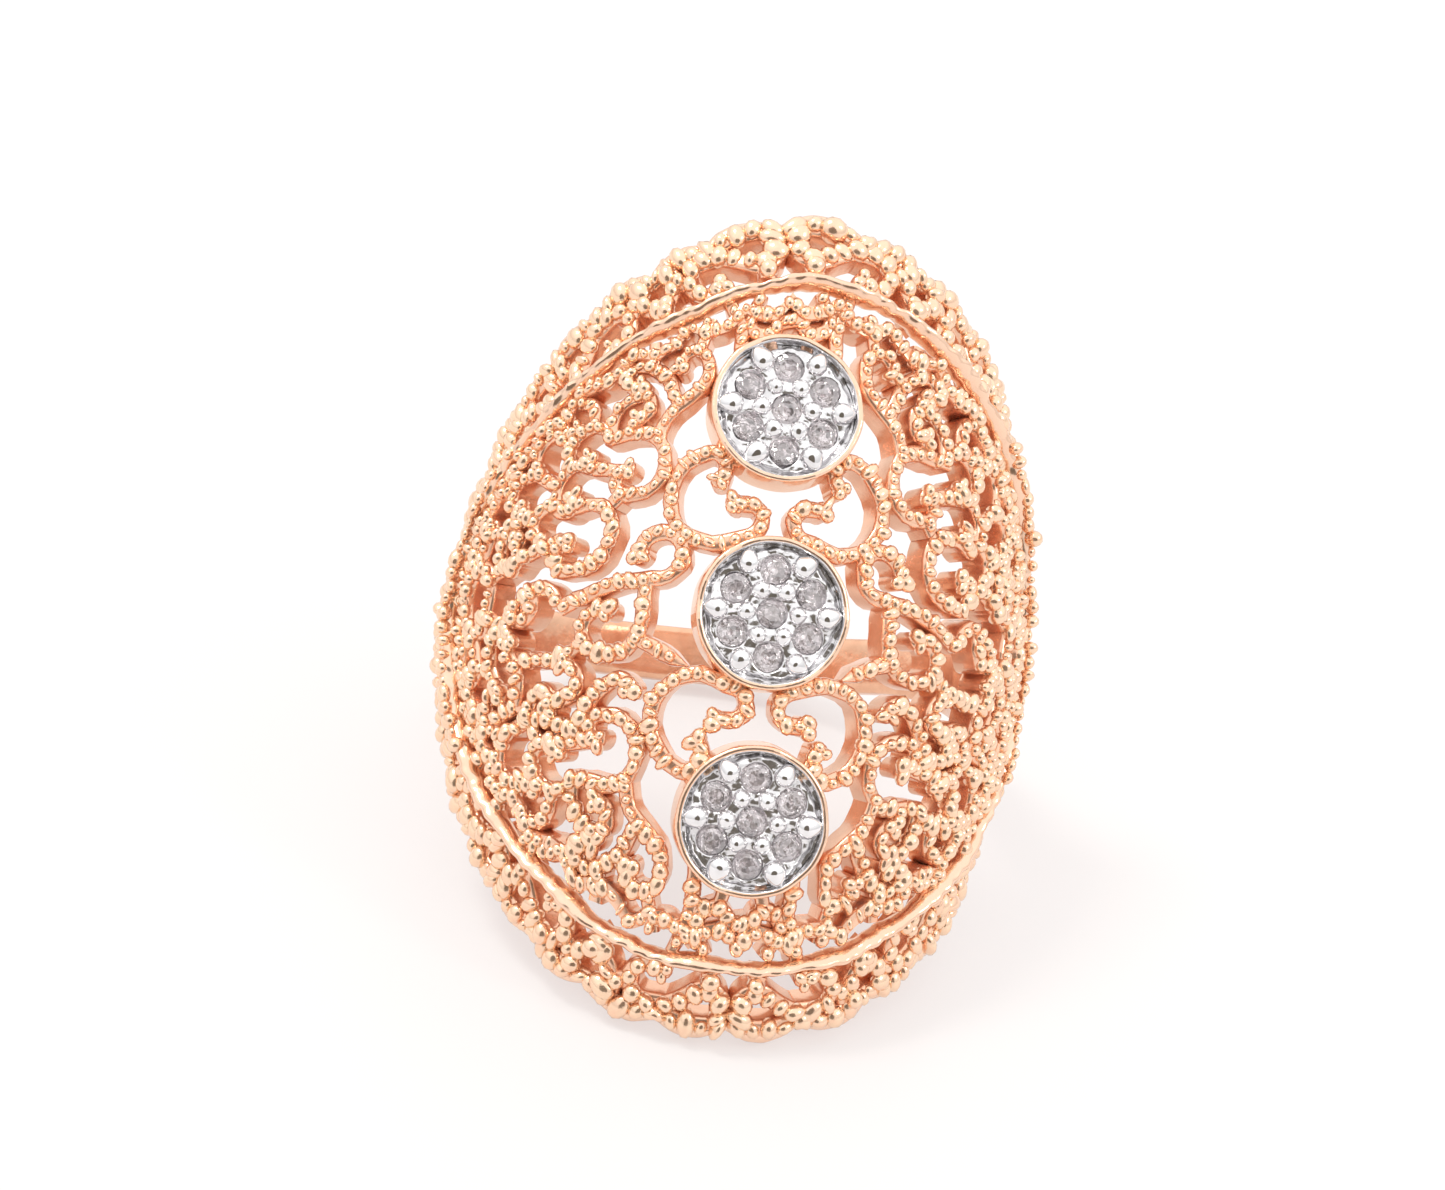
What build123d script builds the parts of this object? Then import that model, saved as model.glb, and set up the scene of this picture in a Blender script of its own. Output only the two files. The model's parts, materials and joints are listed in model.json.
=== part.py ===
"""Filigree openwork ring: a long pierced dome with three pave clusters on a plain band.

Units are millimetres. The ring lies on its side, on the lower tip of the dome and the back of the
band. X runs across the dome, Z is up, and the dome looks along -Y and upwards.
"""
from build123d import *
from collections import namedtuple
from math import acos, asin, atan2, cos, degrees, hypot, pi, radians, sin, sqrt
import os

# Finger hole and band
bore_diameter = 17.3
band_thickness = 1.3
band_width = 2.1
band_edge_radius = 0.25
shoulder_width = 5.0
shoulder_rise = 0.6
shoulder_lift = 0.45
shoulder_low_angle = 130.0
shoulder_high_angle = 76.0

# Dome, a surface turned about a line in front of the finger's axis
dome_radius = 10.7
dome_axis_rise = 1.8
dome_long_radius = 42.0
lace_thickness = 1.2
strip_width = 0.55
bud_diameter = 0.74

# Round clusters in a column on the dome
disc_pitch = 7.1
disc_diameter = 5.3
disc_rim = 0.24
disc_rim_rise = 0.30
disc_depth = 1.1
plate_recess = 0.36
plate_thickness = 0.62
seat_ledge = 0.35
set_gap = 0.02

# Stones and the beads that hold them
stone_diameter = 1.12
stone_table_share = 0.56
stone_crown_share = 0.15
stone_girdle_share = 0.04
stone_pavilion_share = 0.40
stone_facets = 8
stones_round = 6
stone_ring_share = 0.63
culet_share = 0.10
stone_sink = 0.05
inner_bead_diameter = 0.44
outer_bead_diameter = 0.66
inner_bead_share = 0.37
outer_bead_share = 0.80

# Rail round the lace, and the scroll skirt below it
rail_half_length = 12.1
rail_half_width = 15.0
rail_diameter = 0.85
skirt_width = 2.55
skirt_flare = 17.0
skirt_thickness = 0.65
base_wire_diameter = 0.85
lobes_per_quarter = 7
lobe_eye_diameter = 1.0
lobe_eye_share = 0.5

# Clusters by name, each with its place along the dome in pitches
CLUSTERS = {"upper": 1, "middle": 0, "lower": -1}

# Powers that draw the rail's pointed oval
OVAL_ACROSS_POWER = 1.18
OVAL_ALONG_POWER = 1.05
STATIONS_PER_HALF = 21
SHOULDER_SECTIONS = 7
# Half of a rounded wire's flat, as a share of the wire's radius
EDGE_FACET = 0.42

# One row is one scroll of the lace. across and along place its start from the dome's middle, both
# and all lengths as shares of disc_pitch, and across grows outwards. heading is in degrees from
# across towards along. A step is (radius, turn in degrees), or (0, length) for a straight run.
# copies is 4 where the upper half repeats in the lower one, else 2, one for each side.
# buds says which ends are rounded: s for the start, e for the end.
Scroll = namedtuple("Scroll", "name copies across along heading buds steps")
SCROLLS = [
    Scroll("heart", 4, 0.225, 0.53, 180, "se",
           [(0, 0.07), (0.075, 90), (0.085, 70), (0, 0.12), (0.235, 185), (0.085, 150)]),
    Scroll("eye", 4, 1.02, 0.87, 175, "e", [(0, 0.22), (0.17, 190), (0, 0.03), (0.065, 165)]),
    Scroll("collar", 4, 0.675, 0.85, 85, "e",
           [(0.22, 55), (0, 0.12), (0.15, -60), (0, 0.04), (0.085, -180)]),
    Scroll("collar_tie", 4, 0.52, 1.35, 100, "", [(0, 0.20)]),
    Scroll("pillar", 4, 0.27, 1.22, 88, "", [(0, 0.20), (0.25, -30), (0, 0.12)]),
    Scroll("tip_hook", 4, 0.06, 1.50, -80, "", [(0.09, 200), (0, 0.11)]),
    Scroll("tip_bar", 4, -0.02, 1.50, 0, "", [(0, 0.10)]),
    Scroll("inner_curl", 4, 0.98, 0.86, 90, "e", [(0, 0.10), (0.15, 90), (0.07, 180)]),
    Scroll("outer_curl", 4, 0.60, 1.06, 60, "e", [(0, 0.12), (0.25, -60), (0.07, -210)]),
    Scroll("curl_tie", 4, 0.80, 1.27, 80, "", [(0, 0.17)]),
    Scroll("rail_leaf", 4, 0.93, 1.21, 15, "", [(0, 0.12), (0.25, -45), (0, 0.06)]),
    Scroll("wing", 4, 0.97, 0.87, 55, "e", [(0.16, -125), (0.09, -170)]),
    Scroll("wing_tie", 4, 1.27, 1.10, 70, "", [(0, 0.17)]),
    Scroll("ear", 4, 0.88, 0.68, 8, "e", [(0, 0.25), (0.14, -150), (0.06, -150)]),
    Scroll("side_curl", 4, 1.28, 0.60, 25, "e", [(0, 0.12), (0.30, -35), (0.10, -190)]),
    Scroll("side_tie", 4, 1.44, 0.90, 60, "", [(0, 0.22)]),
    Scroll("flank_curl", 4, 1.64, 0.58, 10, "e", [(0, 0.13), (0.10, -160)]),
    Scroll("cradle", 4, 1.54, 0.48, -60, "", [(0, 0.07), (0.13, 120)]),
    Scroll("shoulder_hook", 4, 1.76, 0.38, -70, "", [(0, 0.11), (0.11, 200)]),
    Scroll("shoulder_tie", 4, 1.98, 0.33, 30, "", [(0, 0.12)]),
    Scroll("shoulder_ring", 4, 1.70, -0.01, 90, "", [(0, 0.07), (0.12, -170), (0, 0.10)]),
    Scroll("shoulder_bar", 2, 1.92, 0.0, 0, "", [(0, 0.22)]),
    Scroll("crook", 2, 0.69, 0.24, 85, "s", [(0.115, 265), (0, 0.22), (0.60, -15), (0, 0.22)]),
    Scroll("cup", 2, 0.64, 0.10, -90, "e", [(0, 0.18), (0.17, 90), (0, 0.06), (0.105, 200)]),
    Scroll("cup_leaf", 2, 0.69, -0.16, 202, "", [(0, 0.24)]),
    Scroll("tendril", 2, 0.675, -0.42, 80, "s", [(0.06, -100), (0.30, -45), (0, 0.16)]),
    Scroll("crest", 2, 1.18, 0.47, 165, "e",
           [(0, 0.08), (0.35, 15), (0.15, 90), (0.20, 90), (0, 0.07), (0.07, 190)]),
    Scroll("crest_tie", 2, 0.84, 0.56, -50, "", [(0, 0.08)]),
    Scroll("crest_bar", 2, 1.18, 0.31, -20, "", [(0, 0.52)]),
    Scroll("drop_eye", 2, 1.25, -0.46, 190, "e", [(0, 0.17), (0.09, -180)]),
    Scroll("drop_bar", 2, 0.97, -0.64, 12, "", [(0, 0.35)]),
    Scroll("drop_link", 2, 0.95, -0.19, -35, "", [(0, 0.14), (0.20, 35), (0, 0.16)]),
    Scroll("brow", 2, 1.13, -0.04, 75, "", [(0.14, -100), (0.35, -30), (0.20, -90)]),
    Scroll("brow_tie", 2, 1.47, -0.15, 15, "", [(0, 0.26)]),
    Scroll("brow_tail", 2, 1.42, -0.31, -110, "", [(0, 0.11), (0.12, 90), (0, 0.10)]),
]

# Panels of the lace, each drawn flat on its own plane and cut through along it. The panel's plane
# stands at its angle from the dome's middle, and it holds the scrolls whose middle lies nearest.
PANEL_ANGLES = [0.0, 33.0, 62.0]
panel_depth = 4.5
panel_rise = 1.0

os.makedirs("parts", exist_ok=True)

bore_radius = bore_diameter / 2
band_radius = bore_radius + band_thickness
disc_radius = disc_diameter / 2
plate_radius = disc_radius - disc_rim - set_gap


def dome_section_radius(along):
    """Radius of the dome round its own axis at a distance along the finger."""
    return dome_radius - dome_long_radius + sqrt(dome_long_radius**2 - along**2)


def dome_normal(angle, along):
    """Outward direction of the dome, with the angle in degrees from the dome's middle."""
    slope = asin(along / dome_long_radius)
    theta = radians(angle)
    return Vector(cos(slope) * sin(theta), sin(slope), cos(slope) * cos(theta))


def dome_point(angle, along, rise=0.0):
    """Point on the dome, as (across, along, out) from the ring's centre."""
    radius = dome_section_radius(along)
    theta = radians(angle)
    foot = Vector(radius * sin(theta), along, dome_axis_rise + radius * cos(theta))
    return foot + dome_normal(angle, along) * rise


def rail_station(station):
    """Angle and distance along of the rail at a station, from 0 at the tip to 90 at the side."""
    turn = radians(station)
    angle = degrees(rail_half_width / dome_radius) * abs(sin(turn)) ** OVAL_ACROSS_POWER
    along = rail_half_length * abs(cos(turn)) ** OVAL_ALONG_POWER
    return (angle if station >= 0 else -angle), (along if cos(turn) >= 0 else -along)


def rail_point(station):
    angle, along = rail_station(station)
    return dome_point(angle, along)


def rail_plane(station):
    """Plane across the rail: its x is the dome's outward direction and its y leads down the skirt."""
    step = 0.01
    tangent = rail_point(station + step) - rail_point(station - step)
    angle, along = rail_station(station)
    return Plane(origin=dome_point(angle, along), x_dir=dome_normal(angle, along), z_dir=tangent * -1)


def skirt_direction(station):
    """Direction down the skirt in the rail's plane, as (x, y)."""
    flare = radians(skirt_flare) * abs(cos(radians(station)))
    return -sin(flare), cos(flare)


def skirt_point(station, share):
    """Point in the middle of the skirt's wall, a share of the way from the rail to the base."""
    down = skirt_direction(station)
    reach = share * skirt_width
    return rail_plane(station).from_local_coords((down[0] * reach, down[1] * reach, 0))


def skirt_plane(station, share):
    """Plane on the middle of the skirt's wall, with z square to the wall and x along the rail."""
    down = skirt_direction(station)
    frame = rail_plane(station)
    outward = frame.x_dir * down[1] - frame.y_dir * down[0]
    return placed(Plane(origin=skirt_point(station, share), x_dir=frame.z_dir, z_dir=outward))


def edge_profile(station):
    """Section of the rail, the skirt's wall and the base wire, as points in the rail's plane."""
    down = skirt_direction(station)
    rail, wire, wall = rail_diameter / 2, base_wire_diameter / 2, skirt_thickness / 2
    outer = [(EDGE_FACET * rail, -rail), (rail, -EDGE_FACET * rail), (rail, EDGE_FACET * rail),
             (wall, rail), (wall, skirt_width - wire), (wire, skirt_width - EDGE_FACET * wire),
             (wire, skirt_width + EDGE_FACET * wire), (EDGE_FACET * wire, skirt_width + wire)]
    both = outer + [(-thick, reach) for thick, reach in reversed(outer)]
    return [(thick * down[1] + reach * down[0], reach * down[1] - thick * down[0])
            for thick, reach in both]


def lobe_stations():
    """Stations of the lobes' middles, evenly spaced along a quarter of the rail."""
    lengths = [0.0]
    for station in range(90):
        lengths.append(lengths[-1] + (rail_point(station + 1) - rail_point(station)).length)
    pitch = lengths[-1] / lobes_per_quarter
    reached = []
    for lobe in range(lobes_per_quarter):
        middle = (lobe + 0.5) * pitch
        passed = max(station for station in range(90) if lengths[station] <= middle)
        reached.append(passed + (middle - lengths[passed]) / (lengths[passed + 1] - lengths[passed]))
    return reached


def radial_plane(angle):
    """Plane through the finger's axis, with x outwards at an angle from the dome's middle."""
    theta = radians(angle)
    outward = (sin(theta), 0, cos(theta))
    return placed(Plane(origin=(0, 0, 0), x_dir=outward, z_dir=(-cos(theta), 0, sin(theta))))


# The ring leans on the bottom of the base wire's tip and on the rounded lower back edge of the band.
tip_wire = skirt_point(0, 1.0)
heel_along = band_width / 2 - band_edge_radius
heel_out = band_radius - band_edge_radius
lean_along = tip_wire.Y - heel_along
lean_out = -(heel_out + tip_wire.Z)
lean_drop = band_edge_radius - base_wire_diameter / 2
lean = atan2(lean_out, lean_along) + acos(lean_drop / hypot(lean_along, lean_out))
front = Plane(origin=(0, 0, 0), x_dir=(1, 0, 0), z_dir=(0, -cos(lean), sin(lean)))
middle_across = Plane(origin=front.origin, z_dir=front.x_dir)
middle_along = Plane(origin=front.origin, z_dir=front.y_dir)


def placed(plane):
    """A plane given in the ring's own directions, put where the ring lies."""
    origin = front.from_local_coords(plane.origin)
    tip_x = front.from_local_coords(plane.origin + plane.x_dir)
    tip_z = front.from_local_coords(plane.origin + plane.z_dir)
    return Plane(origin=origin, x_dir=tip_x - origin, z_dir=tip_z - origin)


def dome_plane(angle, along, rise=0.0):
    """Plane resting on the dome, with x across, y along and z outwards."""
    normal = dome_normal(angle, along)
    theta = radians(angle)
    across = Vector(cos(theta), 0, -sin(theta))
    return placed(Plane(origin=dome_point(angle, along, rise), x_dir=across, z_dir=normal))


def scroll_middle(row):
    """Middle of a scroll's box, in shares of disc_pitch."""
    x, y, heading = row.across, row.along, radians(row.heading)
    xs, ys = [x], [y]
    for radius, amount in row.steps:
        if radius == 0:
            x += amount * cos(heading)
            y += amount * sin(heading)
        else:
            side = 1 if amount > 0 else -1
            middle_x, middle_y = x - side * radius * sin(heading), y + side * radius * cos(heading)
            for part in range(1, 9):
                turned = heading + radians(amount) * part / 8
                x = middle_x + side * radius * sin(turned)
                y = middle_y - side * radius * cos(turned)
                xs.append(x)
                ys.append(y)
            heading += radians(amount)
        xs.append(x)
        ys.append(y)
    return (min(xs) + max(xs)) / 2, (min(ys) + max(ys)) / 2


def panel_of(row):
    """The panel whose angle is nearest to the scroll's middle."""
    angle = degrees(scroll_middle(row)[0] * disc_pitch / dome_radius)
    return min(PANEL_ANGLES, key=lambda panel_angle: abs(panel_angle - angle))


def across_of(tangent):
    """Direction square to a flat tangent, to its left."""
    return Vector(-tangent.Y, tangent.X)


def draw_scroll(row, flip, panel_angle):
    """Draw one scroll and its buds on the open sketch. flip is -1 for the lower half."""
    middle = scroll_middle(row)
    bend = middle[0] * disc_pitch / dome_radius - radians(panel_angle)
    shift = dome_section_radius(middle[1] * disc_pitch) * sin(bend) - middle[0] * disc_pitch
    point = Vector(row.across * disc_pitch + shift, flip * row.along * disc_pitch)
    start = point
    tangent = Vector(cos(radians(row.heading)), flip * sin(radians(row.heading)))
    half = strip_width / 2
    with BuildLine(Plane.XY) as outline:
        left = point + across_of(tangent) * half
        right = point - across_of(tangent) * half
        Line(left, right)
        for radius, amount in row.steps:
            if radius == 0:
                left_run = Line(left, left + tangent * amount * disc_pitch)
                right_run = Line(right, right + tangent * amount * disc_pitch)
            else:
                bow = half if flip * amount > 0 else -half
                left_run = JernArc(left, tangent, radius * disc_pitch - bow, flip * amount)
                right_run = JernArc(right, tangent, radius * disc_pitch + bow, flip * amount)
            left, right, tangent = left_run @ 1, right_run @ 1, left_run % 1
        Line(left, right)
    make_face(outline.edges())
    point = (left + right) * 0.5
    buds = [start] * ("s" in row.buds) + [point] * ("e" in row.buds)
    if buds:
        with Locations(*buds):
            Circle(bud_diameter / 2)


# Solid of the dome's wall, turned about the dome's axis
dome_axis_plane = placed(Plane(origin=(0, 0, dome_axis_rise), x_dir=(0, 1, 0), z_dir=(1, 0, 0)))
dome_axis = Axis(dome_axis_plane.origin, dome_axis_plane.x_dir)
shell_reach = rail_half_length + rail_diameter
with BuildPart() as shell:
    with BuildSketch(dome_axis_plane):
        with BuildLine():
            outer_end = dome_section_radius(shell_reach)
            outer = ThreePointArc((-shell_reach, outer_end), (0, dome_radius), (shell_reach, outer_end))
            inner = ThreePointArc((-shell_reach, outer_end - lace_thickness),
                                  (0, dome_radius - lace_thickness),
                                  (shell_reach, outer_end - lace_thickness))
            Line(outer @ 0, inner @ 0)
            Line(outer @ 1, inner @ 1)
        make_face()
    revolve(axis=dome_axis)

# Lace of one side: each panel is drawn flat, cut through and trimmed to the dome's wall
with BuildPart() as lace_side:
    for panel_angle in PANEL_ANGLES:
        with BuildSketch(dome_plane(panel_angle, 0, -panel_depth)):
            for row in SCROLLS:
                if panel_of(row) == panel_angle:
                    for flip in ((1, -1) if row.copies == 4 else (1,)):
                        draw_scroll(row, flip, panel_angle)
        extrude(amount=panel_depth + panel_rise)
    add(shell.part, mode=Mode.INTERSECT)

# Rail, skirt wall and base wire of the upper half as one profile, lofted through the rail's stations
stations = [-90 + 180 * count / (STATIONS_PER_HALF - 1) for count in range(STATIONS_PER_HALF)]
with BuildPart() as upper_edge:
    for station in stations:
        with BuildSketch(placed(rail_plane(station))):
            with BuildLine():
                Polyline(*edge_profile(station), close=True)
            make_face()
    loft(ruled=True)

# Round openings through the skirt, one in each lobe
with BuildPart() as skirt_openings:
    for side in (-1, 1):
        for station in lobe_stations():
            with BuildSketch(skirt_plane(side * station, lobe_eye_share)):
                Circle(lobe_eye_diameter / 2)
    extrude(amount=skirt_thickness, both=True)
with BuildPart() as upper_skirt:
    add(upper_edge.part)
    add(skirt_openings.part, mode=Mode.SUBTRACT)

# Band round the back of the finger
finger_axis = Axis(front.origin, front.y_dir)
with BuildPart() as band:
    with BuildSketch(radial_plane(shoulder_low_angle)):
        with Locations(((bore_radius + band_radius) / 2, 0)):
            RectangleRounded(band_thickness, band_width, band_edge_radius)
    revolve(axis=finger_axis, revolution_arc=360 - 2 * shoulder_low_angle)

# Shoulder that widens from the band up to the skirt, cut to the finger hole
with BuildPart() as shoulder:
    for count in range(SHOULDER_SECTIONS):
        share = count / (SHOULDER_SECTIONS - 1)
        eased = share * share * (3 - 2 * share)
        angle = shoulder_low_angle + (shoulder_high_angle - shoulder_low_angle) * share
        outer_radius = band_radius + shoulder_rise * eased
        inner_radius = bore_radius + (shoulder_lift if share == 1 else 0)
        width = band_width + (shoulder_width - band_width) * eased
        with BuildSketch(radial_plane(angle)):
            with Locations(((inner_radius + outer_radius) / 2, 0)):
                RectangleRounded(outer_radius - inner_radius, width, band_edge_radius)
    loft(ruled=True)
    with BuildSketch(placed(Plane(origin=(0, shoulder_width, 0), x_dir=(1, 0, 0), z_dir=(0, -1, 0)))):
        Circle(bore_radius)
    extrude(amount=2 * shoulder_width, mode=Mode.SUBTRACT)

# The cast body: lace, rims of the clusters, edge, shoulders and band are one piece of metal
with BuildPart() as openwork_ring:
    add(lace_side.part)
    mirror(lace_side.part, about=middle_across)
    add(upper_skirt.part)
    mirror(upper_skirt.part, about=middle_along)
    add(band.part)
    add(shoulder.part)
    mirror(shoulder.part, about=middle_across)
    for place in CLUSTERS.values():
        with BuildSketch(dome_plane(0, place * disc_pitch, -disc_depth)):
            Circle(disc_radius)
        extrude(amount=disc_depth + disc_rim_rise)
    for place in CLUSTERS.values():
        with BuildSketch(dome_plane(0, place * disc_pitch, disc_rim_rise)):
            Circle(disc_radius - disc_rim)
        extrude(amount=-(plate_recess + plate_thickness + set_gap), mode=Mode.SUBTRACT)
        with BuildSketch(dome_plane(0, place * disc_pitch, disc_rim_rise)):
            Circle(disc_radius - disc_rim - seat_ledge)
        extrude(amount=-(disc_depth + disc_rim_rise + lace_thickness), mode=Mode.SUBTRACT)
openwork_ring.part.label = "openwork_ring"
export_step(openwork_ring.part, "parts/openwork_ring.step")

# Cluster plates with their beads, and the stones set in them
stone_radius = stone_diameter / 2
stone_spots = [(0.0, 0.0)]
for count in range(stones_round):
    turn = 2 * pi * (count + 0.5) / stones_round
    reach = stone_ring_share * plate_radius
    stone_spots.append((reach * cos(turn), reach * sin(turn)))
for cluster, place in CLUSTERS.items():
    plate_rise = disc_rim_rise - plate_recess
    with BuildPart() as plate:
        with BuildSketch(dome_plane(0, place * disc_pitch, plate_rise)):
            Circle(plate_radius)
        extrude(amount=-plate_thickness)
        with Locations(dome_plane(0, place * disc_pitch, plate_rise)):
            with PolarLocations(inner_bead_share * plate_radius, stones_round):
                Sphere(inner_bead_diameter / 2)
            with PolarLocations(outer_bead_share * plate_radius, stones_round):
                Sphere(outer_bead_diameter / 2)
        for across, along in stone_spots:
            seat = dome_plane(0, place * disc_pitch, plate_rise).offset(-stone_sink)
            with BuildSketch(seat):
                with Locations((across, along)):
                    Circle(stone_radius + set_gap)
            extrude(amount=outer_bead_diameter, mode=Mode.SUBTRACT)
            with BuildSketch(seat):
                with Locations((across, along)):
                    Circle(stone_radius + set_gap)
            with BuildSketch(seat.offset(-stone_pavilion_share * stone_diameter - set_gap)):
                with Locations((across, along)):
                    Circle(culet_share * stone_radius + set_gap)
            loft(mode=Mode.SUBTRACT)
    plate.part.label = "cluster_plate_" + cluster
    export_step(plate.part, "parts/" + plate.part.label + ".step")

    for number, (across, along) in enumerate(stone_spots):
        girdle = dome_plane(0, place * disc_pitch, plate_rise - stone_sink)
        crown_height = stone_crown_share * stone_diameter
        pavilion_depth = stone_pavilion_share * stone_diameter
        girdle_height = stone_girdle_share * stone_diameter
        with BuildPart() as stone:
            with BuildSketch(girdle):
                with Locations((across, along)):
                    RegularPolygon(stone_radius, stone_facets)
            extrude(amount=girdle_height)
            with BuildSketch(girdle.offset(girdle_height)):
                with Locations((across, along)):
                    RegularPolygon(stone_radius, stone_facets)
            with BuildSketch(girdle.offset(girdle_height + crown_height)):
                with Locations((across, along)):
                    RegularPolygon(stone_radius * stone_table_share, stone_facets)
            loft()
            with BuildSketch(girdle):
                with Locations((across, along)):
                    RegularPolygon(stone_radius, stone_facets)
            with BuildSketch(girdle.offset(-pavilion_depth)):
                with Locations((across, along)):
                    RegularPolygon(stone_radius * culet_share, stone_facets)
            loft()
        stone.part.label = "stone_" + cluster + "_" + str(number)
        export_step(stone.part, "parts/" + stone.part.label + ".step")
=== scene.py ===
"""Looks of the filigree openwork ring: rose gold scrolls with beaded tops, white clusters, small stones.

Units are metres. The lace, the rail and the skirt are drawn flat first, in the ring's own measures, and
then wrapped on the dome or on its edge, so that they lie where the frame's solids are.
"""
import json
from collections import namedtuple
from math import asin, ceil, copysign, cos, hypot, pi, radians, sin

import bpy
import numpy as np
from mathutils import Matrix, Vector


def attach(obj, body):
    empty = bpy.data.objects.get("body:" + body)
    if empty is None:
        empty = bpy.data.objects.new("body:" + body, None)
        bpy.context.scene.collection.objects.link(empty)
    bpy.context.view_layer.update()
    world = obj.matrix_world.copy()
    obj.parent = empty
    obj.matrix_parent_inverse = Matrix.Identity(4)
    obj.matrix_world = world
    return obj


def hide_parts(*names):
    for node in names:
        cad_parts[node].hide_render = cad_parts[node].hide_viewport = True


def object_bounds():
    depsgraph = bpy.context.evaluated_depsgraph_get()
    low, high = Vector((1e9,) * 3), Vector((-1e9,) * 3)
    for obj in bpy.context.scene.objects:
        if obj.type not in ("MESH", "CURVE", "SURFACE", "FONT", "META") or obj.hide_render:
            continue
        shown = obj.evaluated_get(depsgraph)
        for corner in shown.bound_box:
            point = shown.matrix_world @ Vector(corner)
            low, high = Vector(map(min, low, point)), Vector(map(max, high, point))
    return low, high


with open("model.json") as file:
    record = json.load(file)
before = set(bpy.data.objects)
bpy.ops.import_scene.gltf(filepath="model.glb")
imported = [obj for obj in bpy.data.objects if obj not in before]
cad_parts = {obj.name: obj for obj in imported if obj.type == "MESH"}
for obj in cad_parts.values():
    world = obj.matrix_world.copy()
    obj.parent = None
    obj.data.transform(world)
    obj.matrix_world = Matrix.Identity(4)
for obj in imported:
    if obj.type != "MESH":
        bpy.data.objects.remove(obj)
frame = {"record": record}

cad_low, cad_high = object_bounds()
rng = np.random.default_rng(7)
MM = 0.001

# How finely pieces are divided: (along, round) for rolled sheets, (round, up) for balls
ROW_GRID = (620, 8)
WIRE_GRID = (900, 14)
BAND_GRID = (240, 40)
PLATE_GRID = (70, 220)
GRAIN_GRID = (10, 7)
BEAD_GRID = (20, 14)
BUD_CORNERS = 14
RIM_STEPS = 72
EDGE_STEPS = 1441
ROW_SAMPLES = 4000

# Dome, the surface that the lace lies on
DOME_RADIUS = 10.7 * MM
DOME_AXIS_RISE = 1.8 * MM
DOME_LONG_RADIUS = 42.0 * MM
DISC_PITCH = 7.1 * MM

# Rail's oval and section
RAIL_HALF_LENGTH = 12.1 * MM
RAIL_HALF_WIDTH = 15.0 * MM
OVAL_ACROSS_POWER = 1.18
OVAL_ALONG_POWER = 1.05
RAIL_WIDTH = 0.40 * MM
RAIL_HEIGHT = 0.84 * MM
RAIL_UNEVEN = 0.11

# Skirt, its swellings between the arches, and the base wire
SKIRT_WIDTH = 2.55 * MM
SKIRT_FLARE = radians(17.0)
SKIRT_DEPTH = 0.85 * MM
SKIRT_OUT_SIDE = -0.22 * MM
SKIRT_OUT_TIP = 0.42 * MM
SWELL_POWER = 0.8
SWELL_DOWN = 0.42 * MM
SWELL_DOWN_LEVEL = 0.35
SWELL_DOWN_TIP = 0.15
SWELL_OUT = 0.14 * MM
SWELL_OUT_LEVEL = 0.3
UNITS_PER_QUARTER = 4
UNIT_SPAN = 5.0
BASE_WIRE_DIAMETER = 0.48 * MM
BASE_WIRE_DOWN = SKIRT_WIDTH - 0.27 * MM
BASE_WIRE_OUT = -0.34 * MM
BASE_WIRE_UNEVEN = 0.06

# Unevenness of a wire, as waves that come and go in beats: (size, waves round the ring, waves round the
# wire, phase, beats, their phase)
WIRE_WAVES = [(1.0, 14, 0, 0.0, 0, pi / 2), (0.7, 31, 0, 1.0, 0, pi / 2),
              (0.6, 67, 1, 0.0, 5, 0.0), (0.7, 113, -2, 0.0, 9, 2.0)]

# Sway of a wire: (sways round the ring, size of their shifts in radians, shifts round the ring)
WIRE_SWAY = (23, 0.6, 9)

# Scroll strips, with a leaf point or a round bud at some ends
STRIP_WIDTH = 0.61 * MM
STRIP_DROP = 0.10 * MM
STRIP_ROUNDING = 0.30 * STRIP_WIDTH
LACE_DEPTH = 1.0 * MM
LEAF = 0.6 * MM
LEAF_NARROWING = (0.12, 0.12, 0.75)
BUD_DIAMETER = 0.74 * MM
BUD_ROUNDING = 0.22 * BUD_DIAMETER
BUD_DROP = STRIP_DROP - 0.02 * MM
ARC_STEP = radians(18.0)
RUN_STEP = 0.38 * MM

# Grains on the strips, and the three larger ones on each bud
GRAIN_DIAMETER = 0.55 * MM
GRAIN_STRETCH = (1.12, 0.96, 1.0)
GRAIN_PITCH = 0.50 * MM
GRAIN_RISE = -STRIP_DROP - 0.02 * MM
GRAIN_UNEVEN = 0.16
GRAIN_SLANT = 0.35
GRAIN_ASIDE = 0.035 * MM
GRAIN_LIFT = 0.03 * MM
GRAIN_SIZES = 0.10
GRAIN_GROWTH = 0.14
FINE_ROWS = {"heart", "collar", "crook", "cup", "cup_leaf", "eye", "foot"}
FINE_GRAIN = 0.94
SKIRT_GRAIN = 1.14
BERRY_TURNS = (-60, 60, 180)
BERRY_REACH = 0.21 * MM
BERRY_RISE = GRAIN_RISE + 0.04 * MM
BERRY_SIZE = 0.98
BERRY_SIZES = 0.07

# Beaded row inside the rail: small arches, how far inside they start and how far they swing
SCALLOPS = 34
SCALLOP_INSIDE = 0.62 * MM
SCALLOP_SWING = 0.55 * MM
ROW_ROUNDING = 0.12 * MM
ROW_SOFTNESS = 0.5
ROW_GRAIN_RISE = -STRIP_DROP + 0.04 * MM
ROW_GRAIN_LIFT = 0.018 * MM
ROW_GRAIN_SLANT = 0.25
ROW_GRAIN_SIZES = 0.07

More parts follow.
